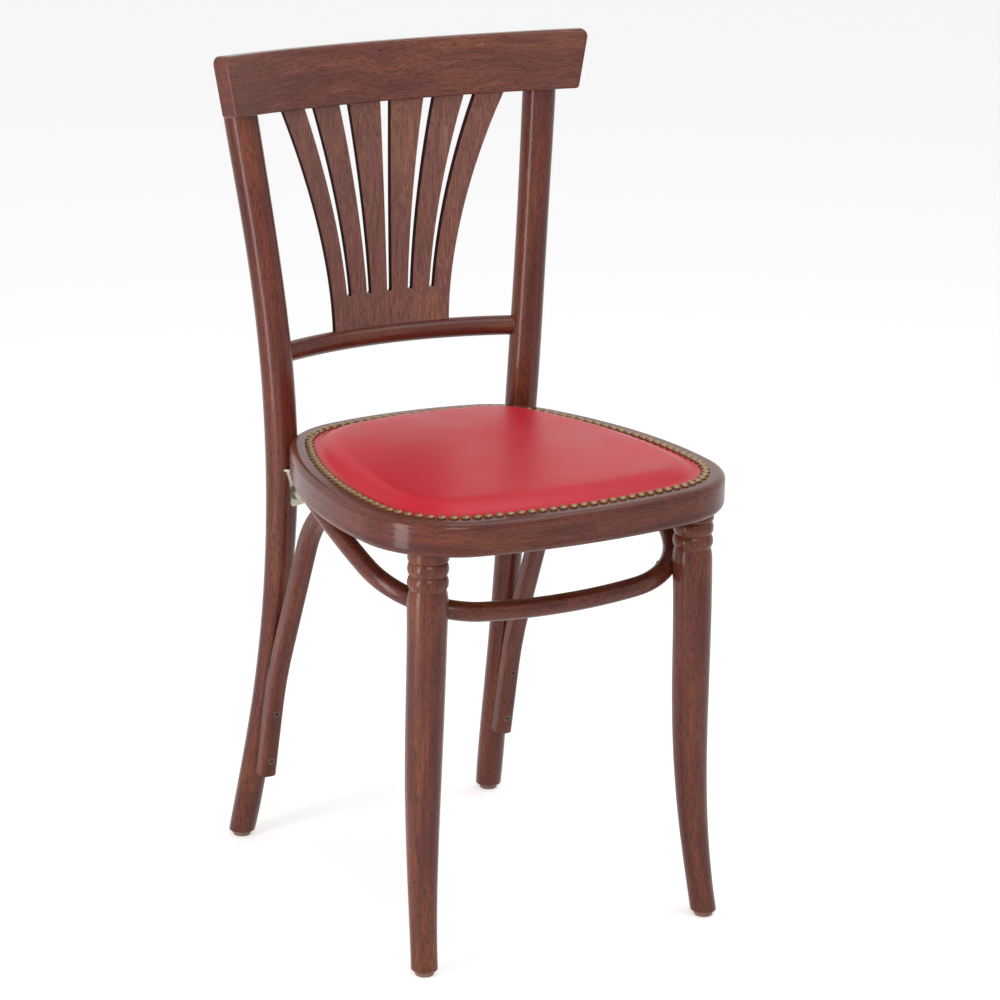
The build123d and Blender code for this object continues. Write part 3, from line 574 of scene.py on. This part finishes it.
def brass_finish():
    """Antique brass: a painted highlight on the crowns, painted shade and patina low down, and
    dark pits.
    """
    made, tree, shader, place = new_material("antique_brass")
    touch = placed_group(tree, HANDLING, Place=place)
    height = split(tree, place)[2]
    # Painted highlight on the crowns, fading to painted shade and patina low down by the rims
    crown = span(tree, height, low=BRASS_LOW, high=BRASS_HIGH)
    pits = span(tree, touch["Grit"], low=0.35, high=0.6)
    colour = blend(tree, crown, BRASS_PATINA_AND_RIM_SHADE, BRASS_CROWN_HIGHLIGHT)
    colour = blend(tree, faded(tree, pits, 0.4), colour, BRASS_PIT)
    feed(tree, shader["Base Color"], colour)
    shader["Metallic"].default_value = 1.0
    gritty = span(tree, touch["Grit"], low=0.3, high=0.7, to_low=0.24, to_high=0.42)
    feed(tree, shader["Roughness"], gritty)
    feed(tree, shader["Normal"], bump(tree, touch["Grit"], depth=0.1 * MM, strength=0.25))
    return made


def metal_finish(name, bright, dull, roughness):
    """Plated or blackened steel with a cloudy, slightly gritty surface."""
    made, tree, shader, place = new_material(name)
    touch = placed_group(tree, HANDLING, Place=place)
    feed(tree, shader["Base Color"], blend(tree, touch["Cloud"], bright, dull))
    shader["Metallic"].default_value = 1.0
    dullest = roughness + 0.15
    gritty = span(tree, touch["Grit"], low=0.3, high=0.7, to_low=roughness, to_high=dullest)
    feed(tree, shader["Roughness"], gritty)
    feed(tree, shader["Normal"], bump(tree, touch["Grit"], depth=0.05 * MM, strength=0.2))
    return made


def glide_finish():
    """Tan nylon glides, darker towards the bottom."""
    made, tree, shader, place = new_material("tan_glide")
    touch = placed_group(tree, HANDLING, Place=place)
    colour = blend(tree, touch["Cloud"], GLIDE_TAN, GLIDE_PALE)
    # Darker towards the bottom, over the lowest few millimetres
    low_dark = span(tree, split(tree, place)[2], high=GLIDE_DARK_HEIGHT, to_low=0.45, to_high=0.0)
    feed(tree, shader["Base Color"], blend(tree, low_dark, colour, GLIDE_LOW_DARK))
    gritty = span(tree, touch["Grit"], low=0.3, high=0.7, to_low=0.45, to_high=0.62)
    feed(tree, shader["Roughness"], gritty)
    feed(tree, shader["Normal"], bump(tree, touch["Grit"], depth=0.08 * MM, strength=0.3))
    return made


def plywood_finish():
    """Birch plywood: pale rotary veneer outside, glue lines on its edges."""
    made, tree, shader, place = new_material("birch_plywood")
    x, y, z = split(tree, place)
    figure = placed_group(tree, WOOD_FIGURE, Grain=join(tree, y, z, x), Wave=0.03)
    colour = blend(tree, figure["Streaks"], VENEER_DARK, VENEER_PALE)
    colour = blend(tree, faded(tree, figure["Flecks"], 0.3), colour, VENEER_PORE)
    layers = maths(tree, "PINGPONG", z, VENEER_HALF)
    line = span(tree, layers, high=GLUE_HALF, to_low=0.6, to_high=0.0)
    feed(tree, shader["Base Color"], blend(tree, line, colour, GLUE))
    fibrous = span(tree, figure["Fibres"], low=0.3, high=0.7, to_low=0.55, to_high=0.7)
    feed(tree, shader["Roughness"], fibrous)
    feed(tree, shader["Normal"], bump(tree, figure["Relief"], depth=0.15 * MM, strength=0.3))
    return made


# Grain of the bent pieces
post_grain = rod_grain(POST_HEIGHTS, POST_OUT, POST_BACK)
leg_grain = rod_grain(LEG_HEIGHTS, LEG_OUT, LEG_BACK)
brace_grain = rod_grain(BRACE_HEIGHTS, BRACE_OUT, BRACE_BACK)
rail_grain = bowed_grain(RAIL_CENTRE_Y, RAIL_RADIUS)
low_rail_grain = bowed_grain(LOW_RAIL_CENTRE_Y, LOW_RAIL_RADIUS)
ring_grain = hoop_grain(RING_HALF, RING_HALF, SEAT_MIDDLE.y)
leg_hoop_grain = hoop_grain(HOOP_HALF_WIDTH, HOOP_HALF_DEPTH, HOOP_MIDDLE_Y)

# Finishes of the pieces, each wood from another place of the figure
post_wood = wood_finish("post_wood", post_grain, shift=3.1, warmth=0.45)
leg_wood = wood_finish("leg_wood", leg_grain, shift=5.3, warmth=0.45)
brace_wood = wood_finish("brace_wood", brace_grain, shift=7.7, warmth=0.3)
rail_wood = wood_finish("rail_wood", rail_grain, shift=1.3, warmth=0.5, wave=0.03, pale=0.2)
low_rail_wood = wood_finish("low_rail_wood", low_rail_grain, shift=2.3, warmth=0.35)
splat_wood = wood_finish(
    "splat_wood", upright_grain, shift=0.4, warmth=1.0, wave=0.02, pale=0.6, shaded_dull_walls=True
)
ring_wood = wood_finish("ring_wood", ring_grain, shift=4.2, warmth=0.4)
hoop_wood = wood_finish("hoop_wood", leg_hoop_grain, shift=6.6, warmth=0.4)
plug_wood = wood_finish("plug_wood", upright_grain, shift=9.1, warmth=0.6)
vinyl = vinyl_finish()
brass = brass_finish()
zinc = metal_finish("yellow_zinc", ZINC_BRIGHT, ZINC_DULL, roughness=0.2)
steel = metal_finish("blackened_steel", STEEL_BRIGHT, STEEL_DULL, roughness=0.34)
glide_tan = glide_finish()
plywood = plywood_finish()

FINISHES = {
    "top_rail": rail_wood,
    "fan_splat": splat_wood,
    "lower_back_rail": low_rail_wood,
    "back_post_left": post_wood,
    "back_post_right": post_wood,
    "rail_plugs": plug_wood,
    "seat_ring": ring_wood,
    "front_leg_left": leg_wood,
    "front_leg_right": leg_wood,
    "leg_hoop": hoop_wood,
    "rear_brace_left": brace_wood,
    "rear_brace_right": brace_wood,
    "seat_board": plywood,
    "seat_bracket_left": zinc,
    "seat_bracket_right": zinc,
    "bracket_bolts": zinc,
    "foot_glides": glide_tan,
    "rail_screws": steel,
    "board_screws": steel,
    "glide_pins": steel,
    "hoop_leg_screws": steel,
    "hoop_ring_screws": steel,
    "brace_leg_screws": steel,
    "brace_ring_screws": steel,
    "bracket_screws": zinc,
    "seat_foam": vinyl,
    "seat_cover": vinyl,
    "cover_nails": brass,
}
for name, finish in FINISHES.items():
    held = nodes[name].data.materials
    held.clear()
    held.append(finish)


# Pieces

def new_object(name, mesh):
    """Object of a mesh, in the scene."""
    made = bpy.data.objects.new(name, mesh)
    scene.collection.objects.link(made)
    return made


def islands(name):
    """Corner points of each separate solid of a CAD node."""
    shape = bmesh.new()
    shape.from_mesh(nodes[name].data)
    bmesh.ops.remove_doubles(shape, verts=shape.verts, dist=MERGE_DISTANCE)
    shape.verts.index_update()
    seen = set()
    found = []
    for start in shape.verts:
        if start.index in seen:
            continue
        seen.add(start.index)
        queue = [start]
        held = []
        while queue:
            spot = queue.pop()
            held.append(spot.co.copy())
            for edge in spot.link_edges:
                other = edge.other_vert(spot)
                if other.index not in seen:
                    seen.add(other.index)
                    queue.append(other)
        found.append(np.array(held))
    shape.free()
    return found


def slope_height(inset):
    """Height of the pad's edge over the seat ring: a hollow arc, a swelling one, then a bend."""
    run = inset - SLOPE_INSET
    if run <= 0:
        return 0.0
    hollow_radius = (KNEE_WIDTH**2 + KNEE_RISE**2) / (2 * KNEE_RISE)
    if run <= KNEE_WIDTH:
        return hollow_radius - math.sqrt(hollow_radius**2 - run**2)
    knee = 2 * math.atan2(KNEE_RISE, KNEE_WIDTH)
    chord = Vector((SLOPE_WIDTH - KNEE_WIDTH, SLOPE_RISE - KNEE_RISE))
    bend = knee - math.atan2(chord.y, chord.x)
    radius = chord.length / (2 * math.sin(bend))
    if run > SLOPE_WIDTH:
        past = run - SLOPE_WIDTH
        return SLOPE_RISE + math.tan(knee - 2 * bend) * past + PAST_SLOPE_BEND * past**2
    sine = math.sin(knee) - (run - KNEE_WIDTH) / radius
    return KNEE_RISE + radius * (math.sqrt(1 - sine**2) - math.cos(knee))


def pad_height(point, inset):
    """Height of the pad's top over the seat ring."""
    crown = CROWN_HEIGHT + LOFT - (point - SEAT_MIDDLE).length_squared / (2 * CROWN_RADIUS)
    edge = slope_height(inset)
    if edge <= 0:
        return 0.0
    eased = math.exp(-edge / BLEND_HEIGHT) + math.exp(-crown / BLEND_HEIGHT)
    return -BLEND_HEIGHT * math.log(eased)


def pad_point(turn, depth):
    """Point of the pad's top at a share of the way round and of the way in to its middle."""
    inset = float(np.interp(
        depth,
        (0.0, HEM_SHARE, SLOPE_SHARE, OFFSET_SHARE),
        (HEM_INSET, SLOPE_INSET, SLOPE_INSET + SLOPE_WIDTH, OFFSET_INSET),
    ))
    point = outline_point(turn, inset)
    if depth > OFFSET_SHARE:
        share = (1.0 - depth) / (1.0 - OFFSET_SHARE)
        point = SEAT_MIDDLE + (point - SEAT_MIDDLE) * share
    return Vector((point.x, point.y, SEAT_TOP + pad_height(point, inset)))


def pad_mesh(sectors, rings, lifts):
    """Sheet of the pad's top in rings that follow the seat outline, raised by a lift per depth."""
    shape = bmesh.new()
    rows = []
    for ring in range(rings):
        depth = ring / rings
        lift = Vector((0, 0, float(np.interp(depth, *lifts))))
        spots = [pad_point(sector / sectors, depth) + lift for sector in range(sectors)]
        rows.append([shape.verts.new(spot) for spot in spots])
    middle = shape.verts.new(pad_point(0.0, 1.0) + Vector((0, 0, lifts[1][-1])))
    for outer, inner in zip(rows, rows[1:]):
        for sector in range(sectors):
            after = (sector + 1) % sectors
            shape.faces.new([outer[sector], outer[after], inner[after], inner[sector]])
    last = rows[-1]
    for sector in range(sectors):
        shape.faces.new([last[sector], last[(sector + 1) % sectors], middle])
    for face in shape.faces:
        face.smooth = True
    mesh = bpy.data.meshes.new("seat_pad")
    shape.to_mesh(mesh)
    shape.free()
    return mesh


NO_SWELLING = ((0.0, 1.0), (0.0, 0.0))


def swell():
    """Lets the foam press a coarse sheet out by cloth simulation, with its hem held.

    Gives the depths of its rings and how far each has risen, scaled to a limit.
    """
    sheet = new_object("swelling_sheet", pad_mesh(SWELL_SECTORS, SWELL_RINGS, NO_SWELLING))
    before = np.array([spot.co.z for spot in sheet.data.vertices])
    held = sheet.vertex_groups.new(name="hem")
    for spot in sheet.data.vertices:
        if spot.co.z < SEAT_TOP + KNEE_RISE / 2:
            held.add([spot.index], 1.0, "REPLACE")
    cloth = sheet.modifiers.new("cloth", "CLOTH")
    cloth.settings.quality = 3
    cloth.settings.mass = 0.4
    cloth.settings.tension_stiffness = 25.0
    cloth.settings.compression_stiffness = 25.0
    cloth.settings.bending_stiffness = 2.0
    cloth.settings.vertex_group_mass = "hem"
    cloth.settings.use_pressure = True
    cloth.settings.uniform_pressure_force = SWELL_PRESSURE
    cloth.settings.effector_weights.gravity = 0.0
    cloth.collision_settings.use_collision = False
    cloth.point_cache.frame_end = SWELL_FRAMES
    for step in range(1, SWELL_FRAMES + 1):
        scene.frame_set(step)
    shaped = sheet.evaluated_get(bpy.context.evaluated_depsgraph_get()).data
    risen = np.array([spot.co.z for spot in shaped.vertices]) - before
    scene.frame_set(1)
    bpy.data.objects.remove(sheet)
    by_ring = risen[:-1].reshape(SWELL_RINGS, SWELL_SECTORS).mean(axis=1)
    by_ring = np.maximum(np.append(by_ring, risen[-1]), 0.0)
    by_ring *= SWELL_LIMIT / max(by_ring.max(), SWELL_LIMIT)
    return np.linspace(0.0, 1.0, SWELL_RINGS + 1), by_ring


def dimple(piece, nail_spots):
    """Pulls the cover down beside each nail."""
    tree = KDTree(len(nail_spots))
    for index, spot in enumerate(nail_spots):
        tree.insert((spot.x, spot.y, 0.0), index)
    tree.balance()
    for spot in piece.data.vertices:
        if spot.co.z > SEAT_TOP + DIMPLE_START:
            _, _, away = tree.find((spot.co.x, spot.co.y, 0.0))
            pull = DIMPLE_DEPTH * math.exp(-((away / DIMPLE_REACH) ** 2))
            spot.co.z = max(spot.co.z - pull, SEAT_TOP)
    piece.data.update()


def close_under(piece):
    """Folds the hem down into the ring's rebate and closes the sheet with a flat underside."""
    shape = bmesh.new()
    shape.from_mesh(piece.data)
    rim = [edge for edge in shape.edges if edge.is_boundary]
    folded = bmesh.ops.extrude_edge_only(shape, edges=rim)["geom"]
    for spot in folded:
        if isinstance(spot, bmesh.types.BMVert):
            spot.co.z = SEAT_TOP - HEM_DROP
    low = [edge for edge in shape.edges if edge.is_boundary]
    bmesh.ops.contextual_create(shape, geom=low)
    bmesh.ops.recalc_face_normals(shape, faces=shape.faces)
    shape.to_mesh(piece.data)
    shape.free()


def finished(piece):
    """Turns a piece with modifiers into a plain mesh."""
    shaped = piece.evaluated_get(bpy.context.evaluated_depsgraph_get())
    mesh = bpy.data.meshes.new_from_object(shaped)
    piece.modifiers.clear()
    piece.data = mesh


nail_spots = []
for solid in islands("cover_nails"):
    middle = (solid.min(axis=0) + solid.max(axis=0)) / 2
    nail_spots.append(Vector((middle[0], middle[1], SEAT_TOP)))

lifts = swell()
pad = new_object("seat_pad", pad_mesh(PAD_SECTORS, PAD_RINGS, lifts))
pad.data.materials.append(vinyl)
dimple(pad, nail_spots)
close_under(pad)


# Nails and screws, grown on points by geometry nodes

def point_cloud(name, spots, facings):
    """Mesh of loose points, each with the direction it faces."""
    mesh = bpy.data.meshes.new(name)
    mesh.from_pydata([tuple(spot) for spot in spots], [], [])
    held = mesh.attributes.new("facing", "FLOAT_VECTOR", "POINT")
    for index, facing in enumerate(facings):
        held.data[index].vector = facing
    return mesh


def growth_tree(name, sizes):
    """Geometry tree with named sizes, a seed and a finish."""
    tree = bpy.data.node_groups.new(name, "GeometryNodeTree")
    tree.interface.new_socket("Points", in_out="INPUT", socket_type="NodeSocketGeometry")
    for label, value in sizes.items():
        socket = tree.interface.new_socket(label, in_out="INPUT", socket_type="NodeSocketFloat")
        socket.default_value = value
    seed = tree.interface.new_socket("Seed", in_out="INPUT", socket_type="NodeSocketInt")
    seed.default_value = SEED
    tree.interface.new_socket("Finish", in_out="INPUT", socket_type="NodeSocketMaterial")
    tree.interface.new_socket("Pieces", in_out="OUTPUT", socket_type="NodeSocketGeometry")
    given = tree.nodes.new("NodeGroupInput").outputs
    out = tree.nodes.new("NodeGroupOutput").inputs
    return tree, given, out


def scatter(tree, given, out, head, tilt):
    """Sets a head on each point along its direction, turned at random, as one real mesh."""
    facing = new_node(tree, "GeometryNodeInputNamedAttribute", data_type="FLOAT_VECTOR")
    facing.inputs["Name"].default_value = "facing"
    lean = new_node(tree, "FunctionNodeRandomValue", data_type="FLOAT_VECTOR")
    for socket, sign in ((lean.inputs[0], -1.0), (lean.inputs[1], 1.0)):
        sway = new_node(tree, "ShaderNodeVectorMath", operation="SCALE")
        sway.inputs[0].default_value = (sign, sign, sign)
        feed(tree, sway.inputs["Scale"], tilt)
        feed(tree, socket, sway.outputs[0])
    feed(tree, lean.inputs["Seed"], given["Seed"])
    leaned = new_node(tree, "ShaderNodeVectorMath", operation="ADD")
    feed(tree, leaned.inputs[0], facing.outputs[0])
    feed(tree, leaned.inputs[1], lean.outputs[0])
    aim = new_node(tree, "FunctionNodeAlignRotationToVector", axis="Z")
    feed(tree, aim.inputs["Vector"], leaned.outputs[0])
    spin = new_node(tree, "FunctionNodeRandomValue", data_type="FLOAT")
    spin.inputs[2].default_value = 0.0
    spin.inputs[3].default_value = math.tau
    feed(tree, spin.inputs["Seed"], given["Seed"])
    about = new_node(tree, "FunctionNodeAxisAngleToRotation")
    about.inputs["Axis"].default_value = (0, 0, 1)
    feed(tree, about.inputs["Angle"], spin.outputs[1])
    turned = new_node(tree, "FunctionNodeRotateRotation", rotation_space="LOCAL")
    feed(tree, turned.inputs[0], aim.outputs[0])
    feed(tree, turned.inputs[1], about.outputs[0])
    placed = new_node(tree, "GeometryNodeInstanceOnPoints")
    feed(tree, placed.inputs["Points"], given["Points"])
    feed(tree, placed.inputs["Instance"], head)
    feed(tree, placed.inputs["Rotation"], turned.outputs[0])
    real = new_node(tree, "GeometryNodeRealizeInstances")
    feed(tree, real.inputs[0], placed.outputs[0])
    painted = new_node(tree, "GeometryNodeSetMaterial")
    feed(tree, painted.inputs["Geometry"], real.outputs[0])
    feed(tree, painted.inputs["Material"], given["Finish"])
    feed(tree, out["Pieces"], painted.outputs[0])


def soft_shaded(tree, geometry, crease):
    """Smooth faces with a sharp line wherever they meet at more than an angle."""
    even = new_node(tree, "GeometryNodeSetShadeSmooth")
    feed(tree, even.inputs[0], geometry)
    angle = new_node(tree, "GeometryNodeInputMeshEdgeAngle")
    steep = new_node(tree, "FunctionNodeCompare", data_type="FLOAT", operation="GREATER_THAN")
    feed(tree, steep.inputs[0], angle.outputs[0])
    steep.inputs[1].default_value = crease
    sharp = new_node(tree, "GeometryNodeSetShadeSmooth", domain="EDGE")
    feed(tree, sharp.inputs[0], even.outputs[0])
    feed(tree, sharp.inputs["Selection"], steep.outputs[0])
    sharp.inputs["Shade Smooth"].default_value = False
    return sharp.outputs[0]


def nail_tree():
    """Domed nail heads: the upper half of a squashed ball, closed below."""
    tree, given, out = growth_tree(
        "domed_nails", {"Head Diameter": 10.2 * MM, "Head Height": 2.8 * MM, "Tilt": 0.05}
    )
    radius = maths(tree, "DIVIDE", given["Head Diameter"], 2.0)
    ball = new_node(tree, "GeometryNodeMeshUVSphere")
    ball.inputs["Segments"].default_value = NAIL_SEGMENTS
    ball.inputs["Rings"].default_value = NAIL_RINGS
    feed(tree, ball.inputs["Radius"], radius)
    place = new_node(tree, "GeometryNodeInputPosition")
    height = new_node(tree, "ShaderNodeSeparateXYZ")
    feed(tree, height.inputs[0], place.outputs[0])
    under = new_node(tree, "FunctionNodeCompare", data_type="FLOAT", operation="LESS_THAN")
    feed(tree, under.inputs[0], height.outputs["Z"])
    under.inputs[1].default_value = NAIL_CUT
    half = new_node(tree, "GeometryNodeDeleteGeometry")
    feed(tree, half.inputs["Geometry"], ball.outputs["Mesh"])
    feed(tree, half.inputs["Selection"], under.outputs[0])
    closed = new_node(tree, "GeometryNodeConvexHull")
    feed(tree, closed.inputs[0], half.outputs[0])
    squash = new_node(tree, "GeometryNodeTransform")
    feed(tree, squash.inputs["Geometry"], closed.outputs[0])
    flat = maths(tree, "DIVIDE", given["Head Height"], radius)
    feed(tree, squash.inputs["Scale"], join(tree, 1.0, 1.0, flat))
    dome = soft_shaded(tree, squash.outputs["Geometry"], NAIL_CREASE)
    scatter(tree, given, out, dome, given["Tilt"])
    return tree


def screw_tree():
    """Countersunk screws with a cross recess: head and shank hang down from the point."""
    tree, given, out = growth_tree(
        "cross_screws",
        {
            "Head Diameter": 8.0 * MM,
            "Head Depth": 2.4 * MM,
            "Shank Diameter": 4.0 * MM,
            "Shank Length": 18.0 * MM,
            "Recess Length": 4.8 * MM,
            "Recess Width": 1.1 * MM,
            "Recess Depth": 1.5 * MM,
            "Tilt": 0.0,
        },
    )
    top = maths(tree, "DIVIDE", given["Head Diameter"], 2.0)
    neck = maths(tree, "DIVIDE", given["Shank Diameter"], 2.0)
    head = new_node(tree, "GeometryNodeMeshCone")
    head.inputs["Vertices"].default_value = HEAD_SEGMENTS
    feed(tree, head.inputs["Radius Top"], top)
    feed(tree, head.inputs["Radius Bottom"], neck)
    feed(tree, head.inputs["Depth"], given["Head Depth"])
    sunk = new_node(tree, "GeometryNodeTransform")
    feed(tree, sunk.inputs["Geometry"], head.outputs["Mesh"])
    drop = maths(tree, "MULTIPLY", given["Head Depth"], -1.0)
    feed(tree, sunk.inputs["Translation"], join(tree, 0.0, 0.0, drop))
    cut = new_node(tree, "GeometryNodeMeshBoolean", operation="DIFFERENCE", solver="EXACT")
    feed(tree, cut.inputs["Mesh 1"], sunk.outputs["Geometry"])
    for along, across in (("Recess Length", "Recess Width"), ("Recess Width", "Recess Length")):
        slot = new_node(tree, "GeometryNodeMeshCube")
        deep = maths(tree, "MULTIPLY", given["Recess Depth"], 2.0)
        feed(tree, slot.inputs["Size"], join(tree, given[along], given[across], deep))
        feed(tree, cut.inputs["Mesh 2"], slot.outputs["Mesh"])
    shank = new_node(tree, "GeometryNodeMeshCylinder")
    shank.inputs["Vertices"].default_value = SHANK_SEGMENTS
    feed(tree, shank.inputs["Radius"], neck)
    feed(tree, shank.inputs["Depth"], given["Shank Length"])
    hung = new_node(tree, "GeometryNodeTransform")
    feed(tree, hung.inputs["Geometry"], shank.outputs["Mesh"])
    half = maths(tree, "MULTIPLY", given["Shank Length"], -0.5)
    feed(tree, hung.inputs["Translation"], join(tree, 0.0, 0.0, maths(tree, "ADD", half, drop)))
    whole = new_node(tree, "GeometryNodeJoinGeometry")
    feed(tree, whole.inputs[0], hung.outputs["Geometry"])
    feed(tree, whole.inputs[0], cut.outputs["Mesh"])
    screw = soft_shaded(tree, whole.outputs[0], SCREW_CREASE)
    scatter(tree, given, out, screw, given["Tilt"])
    return tree


def grown(name, tree, spots, facings, finish):
    """Plain mesh object of a growth tree on a set of points."""
    piece = new_object(name, point_cloud(name, spots, facings))
    growth = piece.modifiers.new("growth", "NODES")
    growth.node_group = tree
    for socket in tree.interface.items_tree:
        if socket.item_type == "SOCKET" and socket.name == "Finish":
            growth[socket.identifier] = finish
    finished(piece)
    return piece


def screw_places(name):
    """Head middles and facing directions of a CAD node's screws."""
    spots = []
    facings = []
    for solid in islands(name):
        middle = solid.mean(axis=0)
        axis = np.linalg.svd(solid - middle, full_matrices=False)[2][0]
        along = (solid - middle) @ axis
        aside = np.linalg.norm(solid - middle - np.outer(along, axis), axis=1)
        if along[aside.argmax()] < (along.min() + along.max()) / 2:
            axis = -axis
            along = -along
        rim = solid[along > along.max() - RIM_MARGIN]
        spots.append(Vector(rim.mean(axis=0)))
        facings.append(Vector(axis))
    return spots, facings


UPWARDS = [Vector((0, 0, 1))] * len(nail_spots)
nails = grown("brass_nails", nail_tree(), nail_spots, UPWARDS, brass)
cross_screws = screw_tree()
SCREW_FINISHES = {
    "hoop_leg_screws": (steel, "steel"),
    "hoop_ring_screws": (steel, "steel"),
    "brace_leg_screws": (steel, "steel"),
    "brace_ring_screws": (steel, "steel"),
    "bracket_screws": (zinc, "zinc_plate"),
}
for name, (finish, slot) in SCREW_FINISHES.items():
    screws = grown(f"cross_{name}", cross_screws, *screw_places(name), finish)
    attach(screws, "root")
    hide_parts(name)

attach(nails, "root")
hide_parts("cover_nails")
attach(pad, "root")
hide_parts("seat_cover", "seat_foam")


# Floor, light and camera

def seen_share(tree):
    """One where the floor or sky is seen or mirrored, none where it only lights."""
    rays = new_node(tree, "ShaderNodeLightPath").outputs
    seen = maths(tree, "MAXIMUM", rays["Is Camera Ray"], rays["Is Glossy Ray"])
    return maths(tree, "MAXIMUM", seen, rays["Is Transmission Ray"])


floor_mesh = bpy.data.meshes.new("floor")
floor_sides = [(-1, -1), (1, -1), (1, 1), (-1, 1)]
floor_corners = [(x * FLOOR_HALF, y * FLOOR_HALF, 0.0) for x, y in floor_sides]
floor_mesh.from_pydata(floor_corners, [], [(0, 1, 2, 3)])
floor = new_object("floor", floor_mesh)
floor_paint, floor_tree, floor_shader, _ = new_material("floor_paint")
floor_shader["Base Color"].default_value = FLOOR_WHITE
floor_shader["Roughness"].default_value = 0.9
floor_shader["Emission Color"].default_value = WHITE
glow = span(floor_tree, seen_share(floor_tree), to_high=FLOOR_GLOW)
feed(floor_tree, floor_shader["Emission Strength"], glow)
floor.data.materials.append(floor_paint)


def softbox(name, place, target, width, height, radiance):
    """Rectangular lamp of an even brightness that faces a point and isn't seen itself."""
    data = bpy.data.lights.new(name, "AREA")
    data.shape = "RECTANGLE"
    data.size = width
    data.size_y = height
    data.energy = radiance * math.pi * width * height
    lamp = bpy.data.objects.new(name, data)
    lamp.location = place
    aim = Vector(target) - Vector(place)
    lamp.rotation_euler = aim.to_track_quat("-Z", "Y").to_euler()
    lamp.visible_camera = False
    scene.collection.objects.link(lamp)


softbox(
    "left_box",
    place=(-1.45, -0.3, 0.62),
    target=(0, 0, 0.55),
    width=0.4,
    height=1.2,
    radiance=7.0,
)
softbox(
    "front_box",
    place=(-1.2, -3.2, 2.5),
    target=(0, 0, 0.4),
    width=1.4,
    height=1.0,
    radiance=6.0,
)
softbox(
    "top_box",
    place=(0.6, -0.4, 2.6),
    target=(0, 0, 0.4),
    width=1.6,
    height=1.6,
    radiance=2.0,
)

world = bpy.data.worlds.new("studio")
world.use_nodes = True
backdrop = world.node_tree.nodes["Background"].inputs
backdrop["Color"].default_value = WHITE
sky = span(world.node_tree, seen_share(world.node_tree), to_low=SKY_LIGHT)
feed(world.node_tree, backdrop["Strength"], sky)
scene.world = world
scene.view_settings.view_transform = "Standard"

lens = bpy.data.cameras.new("camera")
lens.lens = LENS_LENGTH
lens.sensor_width = SENSOR_WIDTH
camera = bpy.data.objects.new("camera", lens)
camera_axes = Matrix((CAMERA_RIGHT, CAMERA_UP, -CAMERA_FORWARD)).transposed()
camera.matrix_world = Matrix.Translation(CAMERA_PLACE) @ camera_axes.to_4x4()
scene.collection.objects.link(camera)
scene.camera = camera
